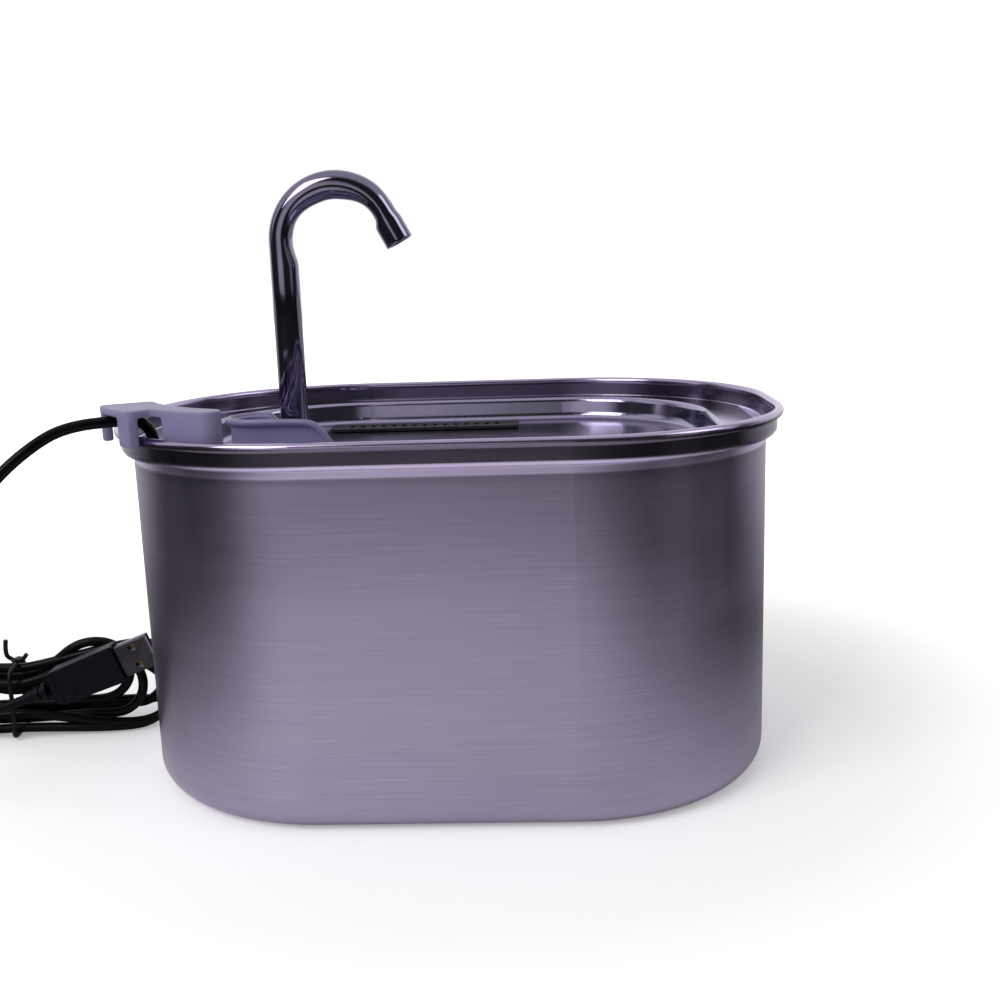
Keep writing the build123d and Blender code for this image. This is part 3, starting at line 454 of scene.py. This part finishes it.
def ramp(tree, value, low, high, low_out, high_out):
    """Maps a value from one range to another, clamped."""
    node = tree.nodes.new("ShaderNodeMapRange")
    node.inputs["From Min"].default_value = low
    node.inputs["From Max"].default_value = high
    node.inputs["To Min"].default_value = low_out
    node.inputs["To Max"].default_value = high_out
    tree.links.new(value, node.inputs["Value"])
    return node.outputs["Result"]


def two_tone(tree, mask, first, second):
    """Mixes two colours by a mask."""
    node = tree.nodes.new("ShaderNodeMix")
    node.data_type = "RGBA"
    node.inputs["A"].default_value = (*first, 1)
    node.inputs["B"].default_value = (*second, 1)
    tree.links.new(mask, node.inputs["Factor"])
    return node.outputs["Result"]


def bump(tree, height, strength, distance):
    """A Bump node on a height."""
    node = tree.nodes.new("ShaderNodeBump")
    node.inputs["Strength"].default_value = strength
    node.inputs["Distance"].default_value = distance
    tree.links.new(height, node.inputs["Height"])
    return node.outputs["Normal"]


def blank(name):
    """A new material: its tree, its shader and the object coordinates."""
    material = bpy.data.materials.new(name)
    material.use_nodes = True
    tree = material.node_tree
    shader = tree.nodes["Principled BSDF"]
    place = tree.nodes.new("ShaderNodeTexCoord").outputs["Object"]
    return material, tree, shader, place


def painted_light_by_height(tree, height, painted_levels):
    """Painted shade and highlight: a value that follows the height, from pairs of a height in mm
    and a value.
    """
    highest = 2.0
    node = tree.nodes.new("ShaderNodeValToRGB")
    stops = node.color_ramp.elements
    while len(stops) < len(painted_levels):
        stops.new(1.0)
    for stop, (at, level) in zip(stops, painted_levels):
        stop.position = at * MM / rim_top
        stop.color = (*[level / highest] * 3, 1)
    tree.links.new(math_node(tree, "DIVIDE", height, rim_top), node.inputs["Fac"])
    return math_node(tree, "MULTIPLY", node.outputs["Color"], highest)


def brushed_steel(name, colour, streak_colour, roughness, plain_from, painted_levels):
    """Level brushing, whose gloss spreads up and down, and a plain polish above a height."""
    material, tree, shader, place = blank(name)
    brushing = use_group(tree, BRUSHING, place)
    height = split(tree, place, 2)
    fade = 0.4 * MM  # half the width in which the brushing ends
    plain_roughness = 0.15
    plain = ramp(tree, height, plain_from - fade, plain_from + fade, 0, 1)
    tone = ramp(tree, brushing.outputs["Streaks"], 0.35, 0.75, 0, 1)
    metal = tree.nodes.new("ShaderNodeVectorMath")
    metal.operation = "SCALE"
    tree.links.new(two_tone(tree, tone, colour, streak_colour), metal.inputs[0])
    # the colour scaled by height: painted shade on the wall and the plain band, a painted highlight
    # strip
    tree.links.new(painted_light_by_height(tree, height, painted_levels), metal.inputs["Scale"])
    tree.links.new(metal.outputs["Vector"], shader.inputs["Base Color"])
    rough = ramp(tree, brushing.outputs["Clouds"], 0.3, 0.7, *roughness)
    polish = math_node(tree, "MULTIPLY", plain, roughness[0] - plain_roughness)
    tree.links.new(math_node(tree, "SUBTRACT", rough, polish), shader.inputs["Roughness"])
    brushed = math_node(tree, "SUBTRACT", 1.0, plain)
    grooves = math_node(tree, "MULTIPLY", brushing.outputs["Height"], brushed)
    tree.links.new(bump(tree, grooves, 0.12, 0.06 * MM), shader.inputs["Normal"])
    shader.inputs["Metallic"].default_value = 1
    shader.inputs["Anisotropic"].default_value = 0.75
    shader.inputs["Anisotropic Rotation"].default_value = 0.25
    return material


def smudged(name, colours, roughness, scale, clean, dull):
    """A material whose colour and gloss change with its smudges, and the group that makes them."""
    material, tree, shader, place = blank(name)
    mottle = use_group(tree, MOTTLE, place, Scale=scale)
    smudge = mottle.outputs["Smudge"]
    mask = ramp(tree, smudge, clean, 1 - clean, 0, 1)
    tree.links.new(two_tone(tree, mask, *colours), shader.inputs["Base Color"])
    tree.links.new(ramp(tree, smudge, clean, dull, *roughness), shader.inputs["Roughness"])
    return material, tree, shader, mottle


def polished_metal(name, colour, smudge_colour, roughness, scale=1.0):
    """Bright metal with faint smudges in its gloss."""
    colours = (colour, smudge_colour)
    material, tree, shader, mottle = smudged(name, colours, roughness, scale, 0.35, 0.7)
    tree.links.new(bump(tree, mottle.outputs["Smudge"], 0.05, 0.3 * MM), shader.inputs["Normal"])
    shader.inputs["Metallic"].default_value = 1
    return material


def moulded(name, colour, worn, roughness, shine=0.5):
    """Moulded plastic or rubber: a fine grain, and smudges in its colour and gloss."""
    material, tree, shader, mottle = smudged(name, (colour, worn), roughness, 1.0, 0.3, 0.7)
    tree.links.new(bump(tree, mottle.outputs["Grain"], 0.12, 0.05 * MM), shader.inputs["Normal"])
    shader.inputs["Specular IOR Level"].default_value = shine
    return material


def foam_or_granules(name, colour, lighter, scale):
    """Open-cell foam or granules: dark cells between lighter walls."""
    material, tree, shader, place = blank(name)
    cells = tree.nodes.new("ShaderNodeTexVoronoi")
    cells.inputs["Scale"].default_value = scale
    tree.links.new(place, cells.inputs["Vector"])
    depth = cells.outputs["Distance"]
    inside = ramp(tree, depth, 0.1, 0.6, 0, 1)
    tree.links.new(two_tone(tree, inside, lighter, colour), shader.inputs["Base Color"])
    tree.links.new(bump(tree, depth, 0.6, 0.4 * MM), shader.inputs["Normal"])
    shader.inputs["Roughness"].default_value = 0.9
    return material


WAVE_LENGTH = 1 / 3.2  # of a Wave Texture at a scale of 1


def laminated(name, colour, gap, pitch):
    """Stacked sheets or wound wire, as level ridges."""
    material, tree, shader, place = blank(name)
    waves = tree.nodes.new("ShaderNodeTexWave")
    waves.bands_direction = "Z"
    waves.inputs["Scale"].default_value = WAVE_LENGTH / pitch
    waves.inputs["Distortion"].default_value = 0.4
    tree.links.new(place, waves.inputs["Vector"])
    ridge = waves.outputs["Fac"]
    tree.links.new(two_tone(tree, ridge, gap, colour), shader.inputs["Base Color"])
    tree.links.new(bump(tree, ridge, 0.5, 0.1 * MM), shader.inputs["Normal"])
    shader.inputs["Metallic"].default_value = 1
    shader.inputs["Roughness"].default_value = 0.4
    return material


# ================================================================ finishes, by the record's slots
PLAIN_FROM = 112.6 * MM  # the brushing ends here, under the rim
# the tank's painted shade and highlight by height in millimetres: painted shade on the wall's top
# under the step, a painted highlight strip on the step, painted shade on the plain band, and the
# bead
STEEL_PAINTED_LIGHT = (
    (70.0, 1.0), (106.0, 0.78), (108.2, 0.66), (108.7, 0.66), (109.1, 1.8),
    (112.8, 1.8), (113.3, 0.42), (118.1, 0.42), (118.7, 1.0),
)
# how a slot's material is made, its colour and its worn or second colour, and its least and most
# roughness; foam and granules have their cells in a metre instead, laminations and wire a pitch
FINISHES = {
    "brushed_steel": (
        brushed_steel, (0.395, 0.337, 0.48), (0.475, 0.417, 0.56), (0.28, 0.36),
        # then where its brushing ends, and its painted shade and highlight by height
        PLAIN_FROM, STEEL_PAINTED_LIGHT,
    ),
    "polished_steel": (polished_metal, (0.34, 0.31, 0.43), (0.32, 0.29, 0.40), (0.13, 0.175)),
    "chrome": (polished_metal, (0.25, 0.225, 0.31), (0.21, 0.19, 0.265), (0.05, 0.1)),
    "shaft_steel": (polished_metal, (0.62, 0.62, 0.64), (0.55, 0.55, 0.57), (0.10, 0.2)),
    "shell_steel": (polished_metal, (0.055, 0.05, 0.06), (0.04, 0.036, 0.044), (0.2, 0.32), 3.0),
    # the contact gold is far darker than gold's own colour: painted shade in the plug shell's
    # windows
    "contact_gold": (polished_metal, (0.20, 0.14, 0.055), (0.16, 0.11, 0.045), (0.3, 0.45)),
    "grey_plastic": (moulded, (0.20, 0.175, 0.32), (0.22, 0.195, 0.345), (0.34, 0.42)),
    "black_silicone": (moulded, (0.012, 0.012, 0.014), (0.02, 0.02, 0.022), (0.45, 0.6)),
    "clear_silicone": (moulded, (0.52, 0.53, 0.55), (0.58, 0.59, 0.6), (0.3, 0.45)),
    "black_plastic": (moulded, (0.015, 0.015, 0.018), (0.022, 0.022, 0.026), (0.4, 0.55)),
    "dark_plastic": (moulded, (0.009, 0.008, 0.012), (0.014, 0.012, 0.018), (0.35, 0.5), 0.3),
    "black_rubber": (moulded, (0.01, 0.01, 0.011), (0.016, 0.016, 0.017), (0.55, 0.7)),
    "potting_resin": (moulded, (0.008, 0.008, 0.009), (0.012, 0.012, 0.014), (0.12, 0.25)),
    "board_green": (moulded, (0.01, 0.13, 0.045), (0.015, 0.16, 0.06), (0.25, 0.35)),
    "white_plastic": (moulded, (0.72, 0.72, 0.70), (0.68, 0.68, 0.65), (0.3, 0.4)),
    "magnet_black": (moulded, (0.03, 0.03, 0.033), (0.045, 0.045, 0.05), (0.35, 0.5)),
    "cord_black": (moulded, (0.0015, 0.0015, 0.002), (0.003, 0.0027, 0.004), (0.24, 0.36), 0.12),
    "tie_black": (moulded, (0.003, 0.003, 0.004), (0.005, 0.005, 0.007), (0.35, 0.5), 0.3),
    "plug_black": (moulded, (0.002, 0.0017, 0.005), (0.004, 0.0034, 0.008), (0.34, 0.5), 0.11),
    "foam_black": (foam_or_granules, (0.006, 0.006, 0.006), (0.035, 0.035, 0.037), 1400),
    "carbon_black": (foam_or_granules, (0.004, 0.004, 0.004), (0.03, 0.03, 0.03), 700),
    "core_steel": (laminated, (0.30, 0.30, 0.32), (0.10, 0.10, 0.11), 0.5 * MM),
    "copper_wire": (laminated, (0.62, 0.27, 0.12), (0.25, 0.09, 0.04), 0.35 * MM),
}
MATERIALS = {slot: make(slot, *values) for slot, (make, *values) in FINISHES.items()}

slot_of = {row["node"]: row["material_slot"] for row in frame["record"]["subparts"]}
for node, obj in nodes.items():
    obj.data.materials.clear()
    obj.data.materials.append(MATERIALS[slot_of[node]])


# ================================================================ faucet
# the way from the bend's end to the mouth, and the way from the bend's centre to that end
OUTLET_WAY = Vector((math.sin(math.pi - HOOK_TURN), 0, -math.cos(math.pi - HOOK_TURN)))
OUTLET_SIDE = Vector((math.cos(math.pi - HOOK_TURN), 0, math.sin(math.pi - HOOK_TURN)))
PINCH_ROOM = 12 * MM  # the fine rings under the bend
PINCH_RINGS = 12
BEND_RINGS = 76
OUTLET_RINGS = 10
# how deep the bending tool pressed the tube in, as a share of its radius
FOOT_DENT = 0.32  # inside, where the stem meets the bend
MOUTH_DENT = 0.30  # inside, at the bend's other end
BACK_DENT = 0.10  # outside, at that end


def build_faucet():
    """The bent tube: extruded up the stem, spun round the bend, and extruded to its mouth."""
    centre = Vector((stem_x + HOOK_RADIUS, 0, faucet_high.z - stem_radius - HOOK_RADIUS))
    bpy.ops.object.select_all(action="DESELECT")
    foot = (stem_x, 0, faucet_low.z)
    bpy.ops.mesh.primitive_circle_add(vertices=64, radius=stem_radius, location=foot)
    tube = settle(bpy.context.object)
    tube.name = "faucet_hook"
    bpy.ops.object.mode_set(mode="EDIT")
    bpy.ops.mesh.select_all(action="SELECT")
    extrude((0, 0, centre.z - faucet_low.z - PINCH_ROOM))
    for _ in range(PINCH_RINGS):
        extrude((0, 0, PINCH_ROOM / PINCH_RINGS))
    bpy.ops.mesh.spin(steps=BEND_RINGS, angle=-HOOK_TURN, center=centre, axis=(0, 1, 0))
    for _ in range(OUTLET_RINGS):
        extrude(OUTLET_WAY * OUTLET_RUN / OUTLET_RINGS)
    bpy.ops.mesh.select_all(action="SELECT")
    bpy.ops.mesh.remove_doubles(threshold=0.001 * MM)
    bpy.ops.mesh.normals_make_consistent(inside=False)
    bpy.ops.object.mode_set(mode="OBJECT")
    for corner in tube.data.vertices:
        corner.co = pinched(corner.co, centre)
    add_modifier(tube, "SOLIDIFY", thickness=STEM_WALL, offset=-1.0)
    ease_edges(tube, 0.18 * MM, 2)
    return smooth(tube, 40)


def swell(value, start, end):
    """Goes smoothly from 0 to 1 as a value goes from one place to another."""
    share = min(max((value - start) / (end - start), 0.0), 1.0)
    return share * share * (3 - 2 * share)


def pinched(place, centre):
    """A point of the faucet's tube, pressed in where the tool held it at both ends of the bend."""
    across = Vector((place.x - centre.x, 0, place.z - centre.z))
    turn = math.atan2(across.z, -across.x)
    bend_middle = Vector((centre.x, place.y, centre.z))
    if across.z < 0 and place.x < centre.x:  # the stem
        inward = place.x - stem_x
        inner_dent = FOOT_DENT * swell(across.z, -8.5 * MM, -0.5 * MM)
        outer_dent = 0.0
        middle = Vector((stem_x, place.y, place.z))
        way = Vector((1, 0, 0))
    elif across.z < 0 or turn > HOOK_TURN:  # the outlet
        along = across.dot(OUTLET_WAY)
        inward = HOOK_RADIUS - across.dot(OUTLET_SIDE)
        fade = 1 - swell(along, 0.5 * MM, 4.0 * MM)
        inner_dent = MOUTH_DENT * fade
        outer_dent = BACK_DENT * fade
        middle = bend_middle + OUTLET_SIDE * HOOK_RADIUS + OUTLET_WAY * along
        way = -OUTLET_SIDE
    else:  # the bend
        side = across.normalized()
        inward = HOOK_RADIUS - across.length
        degrees = math.degrees(turn)
        inner_dent = FOOT_DENT * (1 - swell(degrees, 20, 70)) + MOUTH_DENT * swell(degrees, 95, 140)
        outer_dent = BACK_DENT * swell(degrees, 125, 148)
        middle = bend_middle + side * HOOK_RADIUS
        way = -side
    inward *= 1 - (inner_dent if inward > 0 else outer_dent)
    return middle + way * inward


wear(build_faucet(), "chrome", "faucet", "faucet_tube")


# ================================================================ cable clip
rim_clip = remould(merged_copy("cable_clip", "rim_clip"), 0.25 * MM, 34)
wear(rim_clip, "grey_plastic", "clip", "cable_clip")


# ================================================================ collar round the faucet
COLLAR_MIDDLE = 20.75 * MM  # from its left end to the middle of its wall
COLLAR_BEND = 8.75 * MM  # from there to the left to the middle of the wall's round end
WALL_HALF = 9.0 * MM  # half the wall's width
LIP_HALF = 10.6 * MM
SOCKET_RADIUS = 6.75 * MM  # the middle of the socket's wall
SOCKET_WALL = 1.2 * MM
SOCKET_RISE = 5.2 * MM


def wall_edge(half):
    """Points along the collar's top, at half its width: level, then down at both ends."""
    middle = Vector((collar_left + COLLAR_MIDDLE, 0, 0))
    top = COLLAR_TOP - LIP / 2
    # millimetres to the right of the middle, share of the half width, millimetres below the top
    near_side = (
        (18.4, -0.86, 9.6),
        (16.6, -0.95, 6.6),
        (14.2, -1, 2.6),
        (11.0, -1, 0.3),
        (4.0, -1, 0),
        (-4.0, -1, 0),
    )
    far_side = ((-7.2, 1, 0.2), (-5.2, 1, 2.4), (-3.6, 1, 6), (-2.4, 0.98, 9.6))
    sides = [
        [middle + Vector((x * MM, half * share, top - drop * MM)) for x, share, drop in side]
        for side in (near_side, far_side)
    ]
    turns = [math.radians(-90 - 22.5 * step) for step in range(9)]
    round_end = [
        middle + Vector((-COLLAR_BEND + half * math.cos(turn), half * math.sin(turn), top))
        for turn in turns
    ]
    return sides[0] + round_end + sides[1]


def build_collar():
    """The splash collar: the solid's base and socket, and a thin wall that ends in a round lip."""
    base = merged_copy("faucet_collar", "faucet_splash_collar")
    bpy.ops.object.mode_set(mode="EDIT")
    bpy.ops.mesh.select_all(action="SELECT")
    floor_cut = {"plane_co": (0, 0, COLLAR_FLOOR), "plane_no": (0, 0, 1)}
    bpy.ops.mesh.bisect(**floor_cut, use_fill=True, clear_outer=True)
    bpy.ops.object.mode_set(mode="OBJECT")

    bpy.ops.object.select_all(action="DESELECT")
    foot = (stem_x, 0, COLLAR_FLOOR - 1 * MM)
    bpy.ops.mesh.primitive_circle_add(vertices=48, radius=SOCKET_RADIUS, location=foot)
    socket_ring = settle(bpy.context.object)
    bpy.ops.object.mode_set(mode="EDIT")
    extrude((0, 0, SOCKET_RISE))
    bpy.ops.object.mode_set(mode="OBJECT")
    add_modifier(socket_ring, "SOLIDIFY", thickness=SOCKET_WALL, offset=0.0)

    # the wall hangs from its top edge, and its lower edge is pressed level inside the base
    wall = tube_along("collar_wall", wall_edge(WALL_HALF), 0)
    bpy.ops.object.mode_set(mode="EDIT")
    bpy.ops.mesh.select_all(action="SELECT")
    extrude((0, 0, -20 * MM))
    bpy.ops.transform.resize(value=(1, 1, 0), center_override=(0, 0, COLLAR_FLOOR - 0.8 * MM))
    bpy.ops.object.mode_set(mode="OBJECT")
    add_modifier(wall, "SOLIDIFY", thickness=COLLAR_WALL, offset=0.0)
    lip = tube_along("collar_lip", wall_edge(LIP_HALF), LIP)
    return remould(joined(base, (socket_ring, wall, lip)), 0.28 * MM, 6)


wear(build_collar(), "grey_plastic", "tray", "faucet_collar")


# ================================================================ tie round the hank
# the tie's places on the hank: along it, up and to the front, in millimetres
TIE_RING = (
    (0.8, 27.6, 1.5),
    (0.6, 27.3, 6.5),
    (0.4, 25.0, 9.7),
    (0.9, 14.0, 10.1),
    (0.2, 3.4, 9.8),
    (-0.4, 1.1, 7.2),
    (-0.6, 1.0, 0.0),
    (-0.4, 1.1, -7.2),
    (0.0, 3.4, -9.8),
    (0.3, 14.0, -10.1),
    (-0.6, 25.0, -9.7),
    (-1.2, 27.3, -6.5),
    (-1.4, 27.7, -1.5),
)
TIE_TAILS = (
    ((0.6, 27.4, 1.2), (-1.2, 28.6, -0.6), (-2.6, 30.0, 0.8), (-2.9, 33.0, 1.0), (-2.3, 36.6, 1.2)),
    ((-1.2, 27.5, -1.2), (0.6, 28.7, 0.9), (2.2, 28.4, 1.4), (3.6, 29.3, 1.6), (4.9, 31.0, 1.8)),
)


def build_tie():
    """A coated wire bent round the hank's waist, twisted once on top, with two loose tails."""
    ring, *tails = [
        tube_along("wire_tie", [on_hank(*place) for place in places], TIE_WIRE)
        for places in (TIE_RING, *TIE_TAILS)
    ]
    return smooth(joined(ring, tails), 50)


wire_tie = wear(build_tie(), "tie_black", "tank_body", "hank_tie")


# ================================================================ plug moulding
PLUG_SIZE = Vector((28.5, 14.2, 8.0)) * MM  # along, across, through
PLUG_TAPER = 0.9  # the width at the tail, over the width at the shell
TAIL_ROUND = 5.4 * MM
SHELL_POCKET = Vector((3.1, 12.1, 4.6)) * MM
SHELL_POCKET_PLACE = Vector((12.85, 0, 0)) * MM
THUMB_DIP_RADIUS = 4.3 * MM
THUMB_DIP_PLACE = Vector((-6.25, 0, 3.85)) * MM


def build_plug():
    """The plug's moulding: tapered to a round tail, with a sunk face and a thumb dip."""
    bpy.ops.object.select_all(action="DESELECT")
    bpy.ops.mesh.primitive_cube_add(size=1)
    plug = bpy.context.object
    plug.name = "plug_moulding"
    plug.scale = PLUG_SIZE
    settle(plug)
    pick(plug, "vertices", lambda corner: corner.co.x < 0)
    bpy.ops.object.mode_set(mode="EDIT")
    bpy.ops.transform.resize(value=(1, PLUG_TAPER, 1))
    bpy.ops.object.mode_set(mode="OBJECT")

    def on_tail(edge):
        """True for the two upright edges of the tail."""
        first, second = (plug.data.vertices[index].co for index in edge.vertices)
        return first.x < 0 and second.x < 0 and abs(first.z - second.z) > 1 * MM

    pick(plug, "edges", on_tail)
    bpy.ops.object.mode_set(mode="EDIT")
    bpy.ops.mesh.select_mode(type="EDGE")
    bpy.ops.mesh.bevel(offset=TAIL_ROUND, segments=10)
    bpy.ops.object.mode_set(mode="OBJECT")
    ease_edges(plug, 1.3 * MM, 4)
    pick(plug, "polygons", lambda face: face.normal.z > 0.99)
    bpy.ops.object.mode_set(mode="EDIT")
    bpy.ops.mesh.select_mode(type="FACE")
    bpy.ops.mesh.inset(thickness=0.5 * MM)
    bpy.ops.mesh.inset(thickness=0.3 * MM, depth=-0.35 * MM)
    bpy.ops.object.mode_set(mode="OBJECT")

    bpy.ops.mesh.primitive_cube_add(size=1, location=SHELL_POCKET_PLACE)
    pocket = bpy.context.object
    pocket.scale = SHELL_POCKET
    cut_away(plug, settle(pocket))
    bpy.ops.mesh.primitive_cylinder_add(
        vertices=48, radius=THUMB_DIP_RADIUS, depth=1.2 * MM, location=THUMB_DIP_PLACE
    )
    cut_away(plug, settle(bpy.context.object))

    x_way = HANK_ALONG * math.cos(PLUG_LEAN) + UP * math.sin(PLUG_LEAN)
    y_way = HANK_FRONT.cross(x_way)
    turn = Matrix((x_way, y_way, HANK_FRONT)).transposed().to_4x4()
    plug.matrix_world = Matrix.Translation(PLUG_PLACE) @ turn
    return remould(settle(plug), 0.22 * MM, 24)


plug_moulding = wear(build_plug(), "plug_black", "tank_body", "usb_overmold")


# ================================================================ cord
power_cord.data.materials.append(MATERIALS["cord_black"])
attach(power_cord, "tank_body")
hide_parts("free_cord", "cord_hank", "cord_tail")


# ================================================================ floor, lamps and world
def sky_patch(tree, aim, start, full):
    """How far a direction lies inside a soft-edged cone, from 0 outside to 1 at its middle."""
    dot = tree.nodes.new("ShaderNodeVectorMath")
    dot.operation = "DOT_PRODUCT"
    place = tree.nodes.new("ShaderNodeTexCoord").outputs["Generated"]
    tree.links.new(place, dot.inputs[0])
    dot.inputs[1].default_value = Vector(aim).normalized()
    spread = tree.nodes.new("ShaderNodeMapRange")
    spread.interpolation_type = "SMOOTHSTEP"
    spread.inputs["From Min"].default_value = math.cos(math.radians(start))
    spread.inputs["From Max"].default_value = math.cos(math.radians(full))
    tree.links.new(dot.outputs["Value"], spread.inputs["Value"])
    return spread.outputs["Result"]


def overhead_strip(tree, start, full):
    """A soft strip overhead that runs from left to right."""
    place = tree.nodes.new("ShaderNodeTexCoord").outputs["Generated"]
    across = tree.nodes.new("ShaderNodeVectorMath")
    across.operation = "MULTIPLY"
    across.inputs[1].default_value = (0, 1, 1)
    tree.links.new(place, across.inputs[0])
    level = tree.nodes.new("ShaderNodeVectorMath")
    level.operation = "NORMALIZE"
    tree.links.new(across.outputs["Vector"], level.inputs[0])
    up = split(tree, level.outputs["Vector"], 2)
    return ramp(tree, up, math.cos(math.radians(start)), math.cos(math.radians(full)), 0, 1)


def reach(tree, place, middle, sizes, start, full):
    """How far a place lies outside an oval, from 0 near its middle to 1 beyond it."""
    moved = tree.nodes.new("ShaderNodeMapping")
    moved.vector_type = "POINT"
    moved.inputs["Location"].default_value = [-m / s for m, s in zip(middle, sizes)]
    moved.inputs["Scale"].default_value = [1 / s for s in sizes]
    tree.links.new(place, moved.inputs["Vector"])
    length = tree.nodes.new("ShaderNodeVectorMath")
    length.operation = "LENGTH"
    tree.links.new(moved.outputs["Vector"], length.inputs[0])
    return ramp(tree, length.outputs["Value"], start, full, 0, 1)


def either(tree, switch, off, on):
    """One shader where a switch is 0, and another where it is 1."""
    mix = tree.nodes.new("ShaderNodeMixShader")
    tree.links.new(switch, mix.inputs["Fac"])
    tree.links.new(off.outputs[0], mix.inputs[1])
    tree.links.new(on.outputs[0], mix.inputs[2])
    return mix


# what metal mirrors in front: the way to a panel, how many degrees from it the panel starts and is
# full, and its strength
PANELS = (
    ((-0.42, -1, 0.1), 30, 6, 0.8),
    ((0.9, -0.5, 0.1), 16, 6, 0.35),
)


def build_world():
    """A plain light world. Metal mirrors it white behind, dark in front, with three panels."""
    world = bpy.data.worlds.new("room")
    bpy.context.scene.world = world
    world.use_nodes = True
    world.cycles.sampling_method = "NONE"
    tree = world.node_tree
    tree.nodes.clear()
    out = tree.nodes.new("ShaderNodeOutputWorld")
    path = tree.nodes.new("ShaderNodeLightPath")
    lit = tree.nodes.new("ShaderNodeBackground")
    lit.inputs["Color"].default_value = (1, 1, 1, 1)
    shade = math_node(tree, "MULTIPLY", sky_patch(tree, (1, 0.1, 0.15), 85, 45), 0.7)
    soft = math_node(tree, "MULTIPLY", math_node(tree, "SUBTRACT", 1.0, shade), WORLD_LEVEL)
    tree.links.new(soft, lit.inputs["Strength"])
    seen = tree.nodes.new("ShaderNodeBackground")
    seen.inputs["Color"].default_value = (1, 1, 1, 1)
    mirrored = tree.nodes.new("ShaderNodeBackground")
    mirrored.inputs["Color"].default_value = (0.95, 0.93, 1, 1)
    behind = sky_patch(tree, (0, 1, 0), 82, 48)
    overhead = math_node(tree, "MULTIPLY", overhead_strip(tree, 40, 16), 0.8)
    light = math_node(tree, "MAXIMUM", math_node(tree, "MAXIMUM", overhead, behind), FRONT_LEVEL)
    for aim, start, full, level in PANELS:
        panel = math_node(tree, "MULTIPLY", sky_patch(tree, aim, start, full), level)
        light = math_node(tree, "MAXIMUM", panel, light)
    tree.links.new(light, mirrored.inputs["Strength"])
    in_metal = either(tree, path.outputs["Is Glossy Ray"], lit, mirrored)
    plain_ray = math_node(
        tree, "MAXIMUM", path.outputs["Is Camera Ray"], path.outputs["Is Transmission Ray"]
    )
    in_view = either(tree, plain_ray, in_metal, seen)
    tree.links.new(in_view.outputs[0], out.inputs["Surface"])


def build_floor():
    """A white floor that keeps the object's shadow and meets the white behind it with no edge."""
    bpy.ops.object.select_all(action="DESELECT")
    bpy.ops.mesh.primitive_plane_add(size=6, location=(0, 0, 0))
    floor = bpy.context.object
    floor.name = "floor"
    material, tree, shader, place = blank("floor_white")
    mottle = use_group(tree, MOTTLE, place, Scale=0.02)
    white = two_tone(tree, mottle.outputs["Smudge"], (0.93, 0.93, 0.935), (0.94, 0.94, 0.945))
    path = tree.nodes.new("ShaderNodeLightPath")
    dim = tree.nodes.new("ShaderNodeMix")
    dim.data_type = "RGBA"
    dim.inputs["B"].default_value = (FRONT_LEVEL, FRONT_LEVEL, FRONT_LEVEL, 1)
    # what metal mirrors of the floor goes dark away from the object, to the front
    away = reach(tree, place, (-0.01, -0.12, 0), (0.17, 0.36, 1), 0.6, 1.5)
    front_only = ramp(tree, split(tree, place, 1), 0.5, 0.1, 0, 1)
    in_metal = math_node(tree, "MULTIPLY", away, front_only)
    mirrored = math_node(tree, "MULTIPLY", in_metal, path.outputs["Is Glossy Ray"])
    tree.links.new(mirrored, dim.inputs["Factor"])
    tree.links.new(white, dim.inputs["A"])
    tree.links.new(dim.outputs["Result"], shader.inputs["Base Color"])
    shader.inputs["Roughness"].default_value = 1.0
    shader.inputs["Specular IOR Level"].default_value = 0.0
    # for the camera alone it glows up to white away from the object
    far = reach(tree, place, (0, 0, 0), (0.30, 0.26, 1), 0.5, 1.7)
    glow = ramp(tree, far, 0, 1, 0.26, 1)
    glow = math_node(tree, "MULTIPLY", glow, path.outputs["Is Camera Ray"])
    bright = tree.nodes.new("ShaderNodeEmission")
    tree.links.new(glow, bright.inputs["Strength"])
    both = tree.nodes.new("ShaderNodeAddShader")
    tree.links.new(shader.outputs[0], both.inputs[0])
    tree.links.new(bright.outputs[0], both.inputs[1])
    tree.links.new(both.outputs[0], tree.nodes["Material Output"].inputs["Surface"])
    floor.data.materials.append(material)


def add_lamp(name, place, aim, size, power):
    """A soft square lamp that faces a point."""
    data = bpy.data.lights.new(name, "AREA")
    data.size = size
    data.energy = power
    lamp = bpy.data.objects.new(name, data)
    bpy.context.scene.collection.objects.link(lamp)
    lamp.location = place
    lamp.rotation_euler = (Vector(aim) - Vector(place)).to_track_quat("-Z", "Y").to_euler()


build_world()
build_floor()
add_lamp("key", place=(-0.75, -0.85, 1.1), aim=(-0.02, 0, 0.08), size=0.8, power=KEY_POWER)
add_lamp("rim", place=(0.9, -0.2, 0.8), aim=(0, 0, 0.1), size=0.5, power=RIM_POWER)
bpy.context.scene.view_settings.view_transform = "Standard"
